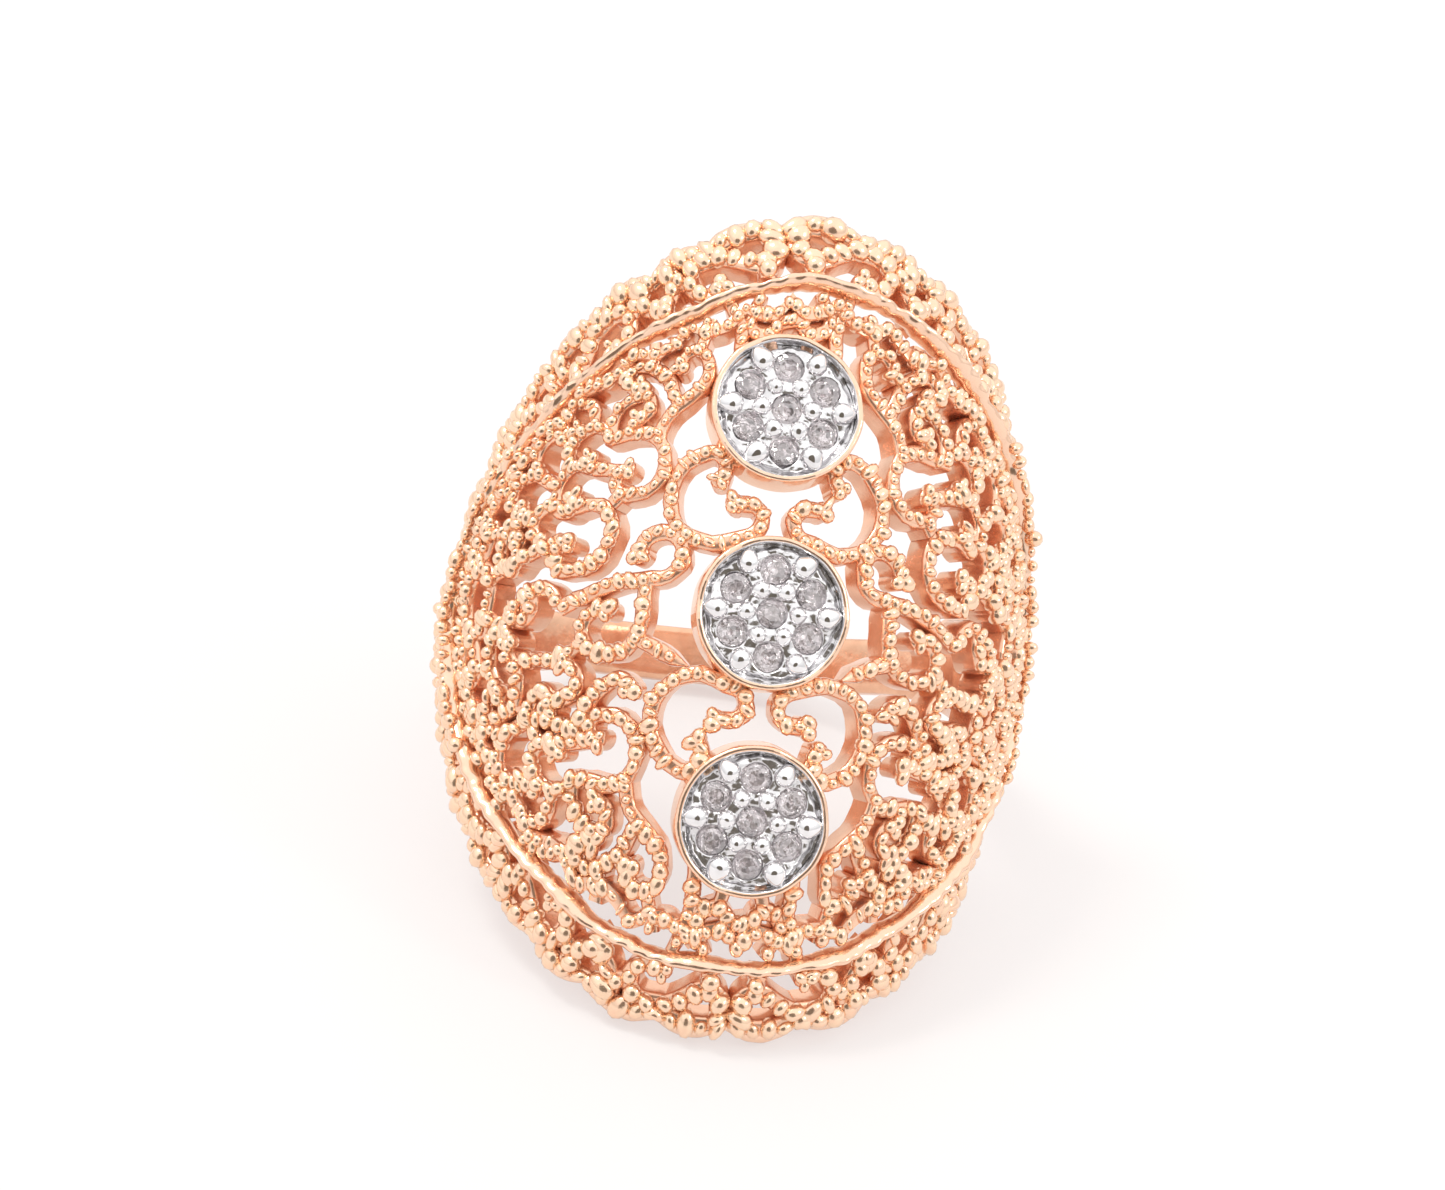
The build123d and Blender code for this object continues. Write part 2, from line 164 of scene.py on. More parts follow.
# Stations between which the rail is buried in beads, and the rows of beads there: (down, out)
BURIED = [(-116.0, -62.0), (48.0, 116.0)]
BURIED_ROWS = [(-0.02 * MM, RAIL_HEIGHT / 2 - 0.02 * MM), (0.34 * MM, 0.22 * MM)]
BURIED_DOUBT = 4.0
BURIED_DOWN = 0.06 * MM
BURIED_OUT = 0.04 * MM
BURIED_SIZE = 0.95
BURIED_SIZES = 0.12

# How far the oval is pushed in at its tips and more at its sides, and places where it is pushed
# more or less: (station in degrees, spread in degrees, depth)
HAND_PUSH_TIP = 0.10 * MM
HAND_PUSH_SIDE = 0.50 * MM
HAND_PUSHES = [(-50.0, 32.0, 1.65 * MM), (-16.0, 16.0, 0.50 * MM), (-100.0, 25.0, 0.45 * MM),
               (98.0, 34.0, 0.45 * MM), (-161.0, 13.0, -0.42 * MM), (165.0, 11.0, -0.22 * MM)]

# Copies of the lace's scrolls: (across, along, shift), of which -1 turns them over
QUARTERS = [(1, 1, 0.0), (1, -1, 0.0), (-1, 1, 0.0), (-1, -1, 0.0)]
HALVES = [(1, 1, 0.0), (-1, 1, 0.0)]

# Slight waver of the lace, as slanting waves: (turn for each mm across, turn for each mm along)
HAND_WAVER = 0.025 * MM
WAVER_ACROSS = [(1.1, 2.9), (-2.3, 5.3)]
WAVER_ALONG = [(3.1, -1.3), (5.9, 1.9)]

# Where the edge is tucked in more than elsewhere, half as deep at the rail as below it: (station in
# degrees, spread in degrees, depth)
EDGE_TUCKS = [(-55.0, 28.0, 0.42 * MM), (-78.0, 14.0, 0.30 * MM), (100.0, 34.0, 0.50 * MM)]

# Round clusters: the rim with its waves, as (waves round, size), and the plate
CLUSTERS = {"upper": 1, "middle": 0, "lower": -1}
DISC_RADIUS = 2.65 * MM
RIM_THICKNESS = 0.24 * MM
RIM_ROUNDING = 0.42 * RIM_THICKNESS
RIM_RISE = 0.30 * MM
RIM_DEPTH = 1.1 * MM
RIM_WAVES = [(3, 1.0), (7, 0.8), (13, 0.6)]
RIM_WAVER = 0.025 * MM
RIM_OUT_OF_ROUND = 0.004
RIM_INWARD = -0.3 * DISC_RADIUS
PLATE_RADIUS = 2.39 * MM
PLATE_RISE = -0.06 * MM
PLATE_THICKNESS = 0.62 * MM

# Surface of a plate: its roughness as waves (turn for each mm across and up, phase), the step down at
# its edge with nicks and a waver as (count, size), the mounds under its beads, the hollows round stones
PLATE_WAVES = [(4.5, 2.0, 0.4), (-2.5, 5.5, 1.9), (6.5, -3.5, 3.1), (1.5, 8.5, 5.0)]
PLATE_ROUGHNESS = 0.022 * MM
PLATE_EDGE = 0.90
PLATE_NICKS = (13, 0.018)
PLATE_WAVER = (5, 0.02)
PLATE_EDGE_DROP = 0.24 * MM
PLATE_EDGE_SLOPE = 0.05
BEAD_MOUND = 0.16 * MM
BEAD_MOUND_REACH = 0.75
HOLLOW_REACH = 1.06
HOLLOW_EDGE = 0.10
HOLLOW_DROP = 0.05 * MM
HOLLOW_SLOPE = 0.40

# Rows of beads: (ring, diameter, length of the tail as a share of it, spread of the tail's turn)
BEAD_ROWS = [(0.37 * PLATE_RADIUS, 0.66 * MM, 0.05, 1.2), (0.80 * PLATE_RADIUS, 0.86 * MM, 0.13, 0.3)]
BEAD_RISE = PLATE_RISE + 0.17 * MM
BEAD_SIZES = 0.05
BEAD_TAIL_WIDTH = 0.15
BEAD_TAIL_HEIGHT = 0.20

# Stones, and the corners above and below a stone's girdle: (corners, share of the radius, height as a
# share of the diameter, turn in degrees)
STONE_DIAMETER = 1.02 * MM
STONE_RISE = PLATE_RISE - 0.03 * MM
STONE_ASKEW = 0.14
STONES_ROUND = 6
STONE_RING = 0.63 * PLATE_RADIUS
STONE_RINGS = [(16, 1.0, 0.03, 0.0), (8, 0.80, 0.095, 22.5), (8, 0.56, 0.16, 0.0),
               (8, 0.80, -0.09, 22.5), (8, 0.10, -0.38, 0.0)]

# Finger hole and band, from the frame's own mount
HOLE = frame["record"]["mounts"][0]
BORE_RADIUS = HOLE["dims"]["r_mm"] * MM
ACROSS_WAY, ALONG_WAY = np.array([1.0, 0.0, 0.0]), np.array(HOLE["axis"])
RING_WAYS = np.stack([ACROSS_WAY, ALONG_WAY, np.cross(ACROSS_WAY, ALONG_WAY)])
BAND_THICKNESS = 1.3 * MM
BAND_WIDTH = 2.1 * MM
BAND_SOFTNESS = 0.36
BAND_CROWN = 0.10 * MM
SHOULDER_WIDTH = 5.0 * MM
SHOULDER_RISE = 0.6 * MM
SHOULDER_LIFT = 0.45 * MM
SHOULDER_LOW_ANGLE = 130.0
SHOULDER_HIGH_ANGLE = 76.0
SHOULDER_TUCK = 0.42 * MM
SHOULDER_TUCK_ANGLE = 99.0
SHOULDER_TUCK_EASE = 10.0

# Camera, turned from the dome's middle to the photograph's angle, in degrees
CAMERA_TURNS = [("Y", -7.69), ("X", 4.69), ("Z", 4.9)]
CAMERA_DISTANCE = 170.0 * MM
CAMERA_NEAREST = 5.0 * MM
FOCAL_PIXELS = 4626.0
FRAME_WIDTH, FRAME_HEIGHT = 1445, 1190
VIEW_CENTRE = (720.4, 639.0)

# Studio, in metres and watts: floor, dark card, and lights as (name, place, size, watts)
FLOOR_SIZE = 4.0
CARD_RADIUS = 0.14
CARD_DISTANCE = 0.26
CARD_LEAN = -0.24
LIGHT_COLOUR = (1.0, 0.95, 0.89)
LIGHTS = [("key_light", (-0.35, 0.10, 0.75), 0.22, 2.4), ("side_light", (0.55, -0.30, 0.50), 0.16, 0.7)]

# One row is one scroll. across and along place its start from the dome's middle, both and all lengths
# as shares of DISC_PITCH, and across grows outwards. heading is in degrees from across towards along. A
# step is (radius, turn in degrees), or (0, length) for a straight run. ends says how the scroll starts
# and ends: s and e are buds at the start and the end, l is a leaf point at the end.
Scroll = namedtuple("Scroll", "name across along heading ends steps")

# Scrolls that are the same in all four quarters of the lace
QUARTER_SCROLLS = [Scroll(*row) for row in [
    ("heart", 0.225, 0.53, 180, "se",
     [(0, 0.07), (0.075, 90), (0.085, 70), (0, 0.12), (0.235, 185), (0.085, 150)]),
    ("eye", 1.02, 0.87, 175, "e", [(0, 0.22), (0.17, 190), (0, 0.03), (0.065, 165)]),
    ("collar", 0.675, 0.85, 85, "e", [(0.22, 55), (0, 0.12), (0.15, -60), (0, 0.04), (0.085, -180)]),
    ("collar_tie", 0.52, 1.35, 100, "", [(0, 0.20)]),
    ("pillar", 0.27, 1.22, 88, "", [(0, 0.20), (0.25, -30), (0, 0.12)]),
    ("tip_hook", 0.06, 1.50, -80, "", [(0.09, 200), (0, 0.11)]),
    ("tip_bar", -0.02, 1.50, 0, "", [(0, 0.10)]),
    ("tip_tie", 0.10, 1.32, 75, "", [(0, 0.12)]),
    ("inner_curl", 0.98, 0.86, 90, "e", [(0, 0.10), (0.15, 90), (0.07, 180)]),
    ("outer_curl", 0.60, 1.06, 60, "e", [(0, 0.12), (0.25, -60), (0.07, -210)]),
    ("curl_tie", 0.80, 1.27, 80, "", [(0, 0.17)]),
    ("rail_leaf", 0.93, 1.21, 15, "", [(0, 0.12), (0.25, -45), (0, 0.06)]),
    ("wing", 0.97, 0.87, 55, "e", [(0.16, -125), (0.09, -170)]),
    ("wing_curl", 1.12, 0.92, 85, "e", [(0, 0.07), (0.13, -135), (0.09, -170)]),
    ("wing_tie", 1.27, 1.10, 70, "", [(0, 0.17)]),
    ("ear", 0.88, 0.68, 8, "e", [(0, 0.25), (0.14, -150), (0.06, -150)]),
    ("side_curl", 1.28, 0.60, 25, "e", [(0, 0.12), (0.30, -35), (0.10, -190)]),
    ("side_loop", 1.24, 0.82, 40, "", [(0, 0.11), (0.12, -200)]),
    ("side_tie", 1.44, 0.90, 60, "", [(0, 0.22)]),
    ("flank_hook", 1.51, 0.80, 10, "e", [(0, 0.11), (0.08, -150)]),
    ("flank_tie", 1.66, 0.79, 40, "", [(0, 0.14)]),
    ("flank_curl", 1.64, 0.58, 10, "e", [(0, 0.13), (0.10, -160)]),
    ("flank_link", 1.86, 0.55, 30, "", [(0, 0.15)]),
    ("cradle", 1.54, 0.48, -60, "", [(0, 0.07), (0.13, 120)]),
    ("cradle_curl", 1.62, 0.38, -80, "e", [(0, 0.10), (0.10, -160)]),
    ("shoulder_hook", 1.76, 0.38, -70, "", [(0, 0.11), (0.11, 200)]),
    ("shoulder_tie", 1.98, 0.33, 30, "", [(0, 0.12)]),
    ("shoulder_ring", 1.70, -0.01, 90, "", [(0, 0.07), (0.12, -170), (0, 0.10)]),
]]

# Scrolls that are the same in the right and the left half only
HALF_SCROLLS = [Scroll(*row) for row in [
    ("shoulder_bar", 1.92, 0.0, 0, "", [(0, 0.22)]),
    ("crook", 0.69, 0.24, 85, "s", [(0.115, 265), (0, 0.22), (0.60, -15), (0, 0.22)]),
    ("cup", 0.64, 0.10, -90, "e", [(0, 0.18), (0.17, 90), (0, 0.06), (0.105, 200)]),
    ("cup_leaf", 0.69, -0.16, 202, "l", [(0, 0.24)]),
    ("tendril", 0.675, -0.42, 80, "s", [(0.06, -100), (0.30, -45), (0, 0.16)]),
    ("crest", 1.18, 0.47, 165, "e",
     [(0, 0.08), (0.35, 15), (0.15, 90), (0.20, 90), (0, 0.07), (0.07, 190)]),
    ("crest_tie", 0.84, 0.56, -50, "", [(0, 0.08)]),
    ("crest_bar", 1.18, 0.31, -20, "", [(0, 0.52)]),
    ("crest_fill", 1.27, 0.52, -30, "", [(0, 0.10), (0.09, -180)]),
    ("crest_hook", 1.38, 0.42, 10, "e", [(0, 0.09), (0.065, -170)]),
    ("drop_eye", 1.25, -0.46, 190, "e", [(0, 0.17), (0.09, -180)]),
    ("drop_bar", 0.97, -0.64, 12, "l", [(0, 0.35)]),
    ("drop_link", 0.95, -0.19, -35, "", [(0, 0.14), (0.20, 35), (0, 0.16)]),
    ("brow", 1.13, -0.04, 75, "", [(0.14, -100), (0.35, -30), (0.20, -90)]),
    ("brow_curl", 1.33, 0.06, -100, "", [(0, 0.07), (0.085, 200)]),
    ("brow_tie", 1.47, -0.15, 15, "", [(0, 0.26)]),
    ("brow_tail", 1.42, -0.31, -110, "", [(0, 0.11), (0.12, 90), (0, 0.10)]),
]]

# The same for one unit of the skirt, which is UNIT_SPAN long. across runs along the rail from the
# unit's start, and along runs down from the rail.
SKIRT_SCROLLS = [Scroll(*row) for row in [
    ("arch", 0.31, 2.15, -90, "e",
     [(0, 0.72), (0.58, 130), (0, 1.05), (0.62, -40), (0, 0.50), (0.70, -200), (0, 0.14)]),
    ("arch_post", 0.95, 0.80, -120, "", [(0.70, 55)]),
    ("half_arch", 4.32, 2.15, -90, "", [(0, 0.60), (0.70, 90)]),
    ("end_post", 5.0, 0.80, -118, "", [(0.70, 55)]),
    ("far_post", 3.79, 1.30, 25, "", [(0.60, 70)]),
    ("foot", 0.0, 2.21, 0, "", [(0, 5.0)]),
]]


def signed_power(values, power):
    """A power of the values' sizes, with their signs kept."""
    return np.sign(values) * np.abs(values) ** power


def dome_wrap(points):
    """Put flat points (across, along, rise) on the dome, in the ring's own directions."""
    across, along, rise = points.T
    slope = np.arcsin(along / DOME_LONG_RADIUS)
    theta = across / DOME_RADIUS
    radius = DOME_RADIUS - DOME_LONG_RADIUS + np.sqrt(DOME_LONG_RADIUS**2 - along**2)
    foot = np.stack([radius * np.sin(theta), along, DOME_AXIS_RISE + radius * np.cos(theta)], 1)
    normal = np.stack([np.cos(slope) * np.sin(theta), np.sin(slope), np.cos(slope) * np.cos(theta)], 1)
    return foot + normal * rise[:, None]


def spread_round(station, middle, spread):
    """1 at the middle station, falling to 0 on both sides of it, once round the oval."""
    return np.exp(-(((station - middle + 180.0) % 360.0 - 180.0) / spread) ** 2)


def hand_shape(across, along):
    """The ring was bent and rubbed by hand: its oval is pushed in a little, most at the upper left."""
    wide, tall = across / RAIL_HALF_WIDTH, along / RAIL_HALF_LENGTH
    station = np.degrees(np.arctan2(wide, tall))
    push = HAND_PUSH_TIP + HAND_PUSH_SIDE * np.sin(np.radians(station)) ** 2
    for middle, spread, depth in HAND_PUSHES:
        push = push + depth * spread_round(station, middle, spread)
    # The push is whole at the rail and fades towards the dome's middle
    share = push * np.clip(np.hypot(wide, tall), 0.0, 1.1) ** 3 / np.maximum(np.hypot(across, along), MM)
    return across * (1 - share), along * (1 - share)


def waver(across, along, waves):
    """How far a flat place wavers, from the waves' turns for each millimetre."""
    return HAND_WAVER * sum(np.sin((across * per_across + along * per_along) / MM)
                            for per_across, per_along in waves)


def lace_wrap(points):
    """Put flat points on the dome with the ring's uneven oval."""
    across, along = hand_shape(points[:, 0], points[:, 1])
    return dome_wrap(np.stack([across + waver(across, along, WAVER_ACROSS),
                               along + waver(across, along, WAVER_ALONG), points[:, 2]], 1))


def rail_flat(stations, inside=0.0):
    """Flat place of the rail at stations in degrees, 0 at the upper tip and 90 at the right side."""
    turn = np.radians(stations)
    return (signed_power(np.sin(turn), OVAL_ACROSS_POWER) * (RAIL_HALF_WIDTH - inside),
            signed_power(np.cos(turn), OVAL_ALONG_POWER) * (RAIL_HALF_LENGTH - inside))


def run_lengths(points):
    """Distance along a line of points to each of them."""
    return np.concatenate([[0.0], np.cumsum(np.linalg.norm(np.diff(points, axis=0), axis=1))])


# Frames along the rail, once round, from which the edge's pieces are wrapped
edge_stations = np.linspace(-180.0, 180.0, EDGE_STEPS)


def edge_frames():
    """Places, dome normals, ways down the rail's outer side and distances along the rail. The left
    half's distances are scaled to end where the right half's do."""
    across, along = hand_shape(*rail_flat(edge_stations))
    place = dome_wrap(np.stack([across, along, np.zeros_like(across)], 1))
    above = dome_wrap(np.stack([across, along, np.full_like(across, MM)], 1))
    normal = (above - place) / MM
    tangent = np.concatenate([place[1:], place[1:2]]) - np.concatenate([place[-2:-1], place[:-1]])
    tangent /= np.linalg.norm(tangent, axis=1)[:, None]
    side = np.cross(-tangent, normal)
    length = run_lengths(place)
    length -= length[len(length) // 2]
    length = np.where(length < 0, length * length[-1] / -length[0], length)
    return place, normal, side, length


edge_place, edge_normal, edge_side, edge_length = edge_frames()
HALF_ROUND = edge_length[-1]
UNIT_LENGTH = HALF_ROUND / 2 / UNITS_PER_QUARTER


def edge_wrap(points):
    """Put flat points (round the rail, down the skirt, outwards) on the ring's edge."""
    around, down, out = points.T
    around = (around + HALF_ROUND) % (2 * HALF_ROUND) - HALF_ROUND
    place, normal, side = [np.stack([np.interp(around, edge_length, field[:, k]) for k in range(3)], 1)
                           for field in (edge_place, edge_normal, edge_side)]
    station = np.interp(around, edge_length, edge_stations)
    for middle, spread, depth in EDGE_TUCKS:
        out = out - depth * spread_round(station, middle, spread) * np.clip(0.5 + down / MM, 0.0, 1.0)
    flare = (SKIRT_FLARE * np.abs(np.cos(np.radians(station))))[:, None]
    down_way = side * np.cos(flare) - normal * np.sin(flare)
    out_way = normal * np.cos(flare) + side * np.sin(flare)
    return place + down_way * down[:, None] + out_way * out[:, None]


def skirt_wrap(points):
    """The same with the skirt swollen between its arches, so that its lower edge is scalloped."""
    around, down, out = points.T
    swell = np.abs(np.sin(2 * pi * around / UNIT_LENGTH)) ** SWELL_POWER
    reach = np.clip(down / SKIRT_WIDTH, 0.0, 1.0) ** 2
    tip = np.cos(pi * around / HALF_ROUND) ** 2
    down = down + SWELL_DOWN * (swell - SWELL_DOWN_LEVEL + SWELL_DOWN_TIP * tip) * reach
    out = out + SKIRT_OUT_SIDE + (SKIRT_OUT_TIP - SKIRT_OUT_SIDE) * tip
    out = out + SWELL_OUT * (swell - SWELL_OUT_LEVEL + tip) * reach
    return edge_wrap(np.stack([around, down, out], 1))


def to_world(points):
    """Turn points in the ring's own directions (across, along the finger, out) to the frame's."""
    return points @ RING_WAYS


def turned(points, angle):
    """Points turned about the upright axis."""
    x, y, z = points.T
    return np.stack([x * cos(angle) - y * sin(angle), x * sin(angle) + y * cos(angle), z], 1)


def read_points(obj):
    """A mesh's points as an array."""
    points = np.empty(len(obj.data.vertices) * 3)
    obj.data.vertices.foreach_get("co", points)
    return points.reshape(-1, 3)


def write_points(obj, points):
    """Move a mesh's points."""
    obj.data.vertices.foreach_set("co", np.ascontiguousarray(points).ravel())
    obj.data.update()


def wrap(obj, surface):
    """Lay a flat piece on a surface of the ring."""
    write_points(obj, to_world(surface(read_points(obj))))


def deselect():
    """Leave nothing selected."""
    bpy.ops.object.select_all(action="DESELECT")


def named(name):
    """Name the active object and its mesh."""
    obj = bpy.context.object
    obj.name = name
    obj.data.name = name
    return obj


def begin(name, primitive, **settings):
    """Start a piece from a primitive, with nothing else selected."""
    deselect()
    primitive(**settings)
    return named(name)


def rolled_sheet(name, along_count, round_count):
    """A flat grid to be rolled up: (piece, its points' shares along it, their turns round it)."""
    piece = begin(name, bpy.ops.mesh.primitive_grid_add, x_subdivisions=along_count,
                  y_subdivisions=round_count, size=1.0)
    flat = read_points(piece) + 0.5
    return piece, flat[:, 0], flat[:, 1] * 2 * pi


def ball(name, grid, diameter):
    """A ball in the middle."""
    return begin(name, bpy.ops.mesh.primitive_uv_sphere_add, segments=grid[0], ring_count=grid[1],
                 radius=diameter / 2)


def pick(obj):
    """Select one object alone and make it active."""
    deselect()
    obj.select_set(True)
    bpy.context.view_layer.objects.active = obj


def edit(obj):
    """Open a piece in edit mode with everything selected."""
    pick(obj)
    bpy.ops.object.mode_set(mode="EDIT")
    bpy.ops.mesh.select_mode(type="VERT")
    bpy.ops.mesh.select_all(action="SELECT")


def close_edit():
    """Leave edit mode."""
    bpy.ops.object.mode_set(mode="OBJECT")


def close_outwards():
    """Turn every face outwards and leave edit mode."""
    bpy.ops.mesh.select_all(action="SELECT")
    bpy.ops.mesh.normals_make_consistent(inside=False)
    close_edit()


def choose(obj, kind, wanted):
    """Open a piece in edit mode with only the wanted points or faces selected."""
    edit(obj)
    bpy.ops.mesh.select_mode(type=kind)
    bpy.ops.mesh.select_all(action="DESELECT")
    close_edit()
    for item in obj.data.vertices if kind == "VERT" else obj.data.polygons:
        item.select = wanted(item)
    bpy.ops.object.mode_set(mode="EDIT")


def extrude(x, y, z):
    """Extrude what is selected."""
    bpy.ops.mesh.extrude_region_move(TRANSFORM_OT_translate={"value": (x, y, z)})


def tidy_mesh(obj, merge=0.002 * MM):
    """Merge doubles and turn every face outwards."""
    edit(obj)
    bpy.ops.mesh.remove_doubles(threshold=merge)
    close_outwards()


def smooth(obj, angle=40.0):
    """Shade smooth, apart from edges sharper than the angle."""
    pick(obj)
    bpy.ops.object.shade_smooth_by_angle(angle=radians(angle))


def join(objects, name):
    """Join pieces into one."""
    deselect()
    for obj in objects:
        obj.select_set(True)
    bpy.context.view_layer.objects.active = objects[0]
    bpy.ops.object.join()
    return named(name)


def mirrored(obj, across=1, along=1, shift=0.0):
    """A copy with its own mesh, turned over where across or along is -1, and shifted."""
    twin = obj.copy()
    twin.data = obj.data.copy()
    bpy.context.collection.objects.link(twin)
    points = read_points(twin)
    write_points(twin, points * [across, along, 1.0] + [shift, 0.0, 0.0])
    if across * along < 0:
        edit(twin)
        bpy.ops.mesh.flip_normals()
        close_edit()
    return twin


def upright_section(name, width, depth, x, top, rounding):
    """A flat section in the plane across Y, with its two top corners rounded."""
    section = begin(name, bpy.ops.mesh.primitive_plane_add, size=1.0)
    edit(section)
    bpy.ops.transform.rotate(value=radians(90), orient_axis="X", center_override=(0, 0, 0))
    bpy.ops.transform.resize(value=(width, 1.0, depth), center_override=(0, 0, 0))
    bpy.ops.transform.translate(value=(x, 0, top - depth / 2))
    close_edit()
    choose(section, "VERT", lambda vertex: vertex.co.z > top - depth / 2)
    bpy.ops.mesh.bevel(offset=rounding, segments=3, affect="VERTICES")
    close_edit()
    return section


def start_of(row, scale):
    """Place and heading where a scroll starts."""
    return row.across * scale, row.along * scale, radians(row.heading)


def steps_of(row, scale):
    """A scroll's steps as (radius, length, turn). The radius is 0 for a straight run and below 0 for
    an arc to the right."""
    for radius, amount in row.steps:
        if radius == 0:
            yield 0.0, amount * scale, 0.0
        else:
            turn = radians(amount)
            yield copysign(radius * scale, amount), abs(turn) * radius * scale, turn


def arc_middle(spot, radius):
    """Middle of the arc that starts at a place with a heading."""
    x, y, heading = spot
    return x - radius * sin(heading), y + radius * cos(heading)


def go_on(spot, radius, distance):
    """Place and heading some distance further along a step."""
    x, y, heading = spot
    if radius == 0:
        return x + distance * cos(heading), y + distance * sin(heading), heading
    middle_x, middle_y = arc_middle(spot, radius)
    heading += distance / radius
    return middle_x + radius * sin(heading), middle_y - radius * cos(heading), heading


def walk(row, scale, spacing):
    """Places and headings along a scroll's middle line, evenly spaced, and those of its end."""
    spot, places, owed = start_of(row, scale), [], spacing / 2
    for radius, run, turn in steps_of(row, scale):
        while owed <= run:
            places.append(go_on(spot, radius, owed))
            owed += spacing
        owed -= run
        spot = go_on(spot, radius, run)
    return places, spot


def bud_spots(row, scale):
    """Places and headings of a scroll's buds."""
    x, y, heading = start_of(row, scale)
    spots = [walk(row, scale, GRAIN_PITCH)[1]] if "e" in row.ends else []
    if "s" in row.ends:
        spots.append((x, y, heading + pi))
    return spots


def lay_strip(section, row, scale):
    """One scroll as a flat strip: its section is run along the straights and spun round the arcs."""
    strip = mirrored(section)
    spot = start_of(row, scale)
    x, y, heading = spot
    edit(strip)
    bpy.ops.transform.rotate(value=radians(90) - heading, orient_axis="Z", center_override=(0, 0, 0))
    bpy.ops.transform.translate(value=(x, y, 0))
    for radius, run, turn in steps_of(row, scale):
        if radius == 0:
            pieces = max(1, round(run / RUN_STEP))
            for piece in range(pieces):
                extrude(run / pieces * cos(spot[2]), run / pieces * sin(spot[2]), 0)
        else:
            bpy.ops.mesh.spin(steps=max(2, ceil(abs(turn) / ARC_STEP)), dupli=False, angle=-turn,
                              center=(*arc_middle(spot, radius), 0), axis=(0, 0, 1))
        spot = go_on(spot, radius, run)
    if "l" in row.ends:
        tip_x, tip_y, heading = go_on(spot, 0, LEAF)
        extrude(LEAF * cos(heading), LEAF * sin(heading), 0)
        bpy.ops.transform.resize(value=LEAF_NARROWING, center_override=(tip_x, tip_y, 0))
    close_outwards()
    return strip


def bud(x, y, depth):
    """A scroll's rounded end: a short post with a domed top."""
    post = begin("bud", bpy.ops.mesh.primitive_cylinder_add, vertices=BUD_CORNERS,
                 radius=BUD_DIAMETER / 2, depth=depth, location=(x, y, -depth / 2 - BUD_DROP))
    bpy.ops.object.transform_apply()
    choose(post, "FACE", lambda face: face.normal.z > 0.9)
    bpy.ops.mesh.bevel(offset=BUD_ROUNDING, segments=3, affect="EDGES")
    close_edit()
    return post


def grain_shape():
    """One grain: a low ball, a little longer across the strip than along it."""
    shape = ball("grain_shape", GRAIN_GRID, GRAIN_DIAMETER)
    edit(shape)
    bpy.ops.transform.resize(value=GRAIN_STRETCH, center_override=(0, 0, 0))
    close_edit()
    return shape


grain = grain_shape()


def lay_grains(name, places, surface):
    """All grains of a piece as one mesh, laid on the ring. A place is (across, along, rise, turn, size)."""
    points = read_points(grain)
    faces = [tuple(face.vertices) for face in grain.data.polygons]
    all_points, all_faces = [], []
    for count, (across, along, rise, turn, size) in enumerate(places):
        uneven = points * rng.normal(1.0, GRAIN_UNEVEN, 3)
        all_points.append(turned(uneven, turn) * size + [across, along, rise])
        all_faces += [tuple(index + count * len(points) for index in face) for face in faces]
    mesh = bpy.data.meshes.new(name)
    mesh.from_pydata(np.concatenate(all_points).tolist(), [], all_faces)
    field = bpy.data.objects.new(name, mesh)
    bpy.context.collection.objects.link(field)
    wrap(field, surface)
    smooth(field, 180.0)
    return field


def scroll_grains(row, scale, size):
    """Grains in a row along one scroll and three on each bud, each a little different."""
    if row.name in FINE_ROWS:
        size *= FINE_GRAIN
    grains = []
    for x, y, heading in walk(row, scale, GRAIN_PITCH * size)[0]:
        slant = heading - radians(90) + rng.normal(0.0, GRAIN_SLANT)
        aside = rng.normal(0.0, GRAIN_ASIDE)
        rise = GRAIN_RISE + rng.normal(0.0, GRAIN_LIFT)
        grains.append((x - aside * sin(heading), y + aside * cos(heading), rise, slant,
                       size * (1.0 + rng.normal(0.0, GRAIN_SIZES))))
    for x, y, heading in bud_spots(row, scale):
        for turn in BERRY_TURNS:
            toward = heading + radians(turn)
            grains.append((x + BERRY_REACH * cos(toward), y + BERRY_REACH * sin(toward), BERRY_RISE,
                           toward, BERRY_SIZE + rng.normal(0.0, BERRY_SIZES)))
    return grains


def lay_scrolls(rows, scale, depth, size, copies):
    """Flat strips and grain places of some rows, repeated for each copy: (across, along, shift)."""
    section = upright_section("strip_section", STRIP_WIDTH, depth, 0.0, -STRIP_DROP, STRIP_ROUNDING)
    strips, grains = [], []
    for row in rows:
        strips.append(lay_strip(section, row, scale))
        strips += [bud(x, y, depth) for x, y, heading in bud_spots(row, scale)]
        grains += scroll_grains(row, scale, size)
    unit = join(strips, "scroll_unit")
    parts = [mirrored(unit, *copy) for copy in copies]
    bpy.data.objects.remove(unit)
    bpy.data.objects.remove(section)
    return parts, [(across * x + shift, along * y, rise, turn * across * along, size)
                   for across, along, shift in copies for x, y, rise, turn, size in grains]


def has_room(x, y):
    """True where a flat place lies inside the rail and outside every cluster's rim."""
    side = asin(min(1.0, abs(x) / RAIL_HALF_WIDTH) ** (1 / OVAL_ACROSS_POWER))
    inside = abs(y) < RAIL_HALF_LENGTH * cos(side) ** OVAL_ALONG_POWER - RAIL_WIDTH / 2
    return inside and all(hypot(x, y - place * DISC_PITCH) > DISC_RADIUS for place in CLUSTERS.values())


def grown(places):
    """Those grain places that the lace has room for, with larger grains in its lower half."""
    return [(x, y, rise, turn, size * (1.0 - GRAIN_GROWTH * y / RAIL_HALF_LENGTH))
            for x, y, rise, turn, size in places if has_room(x, y)]


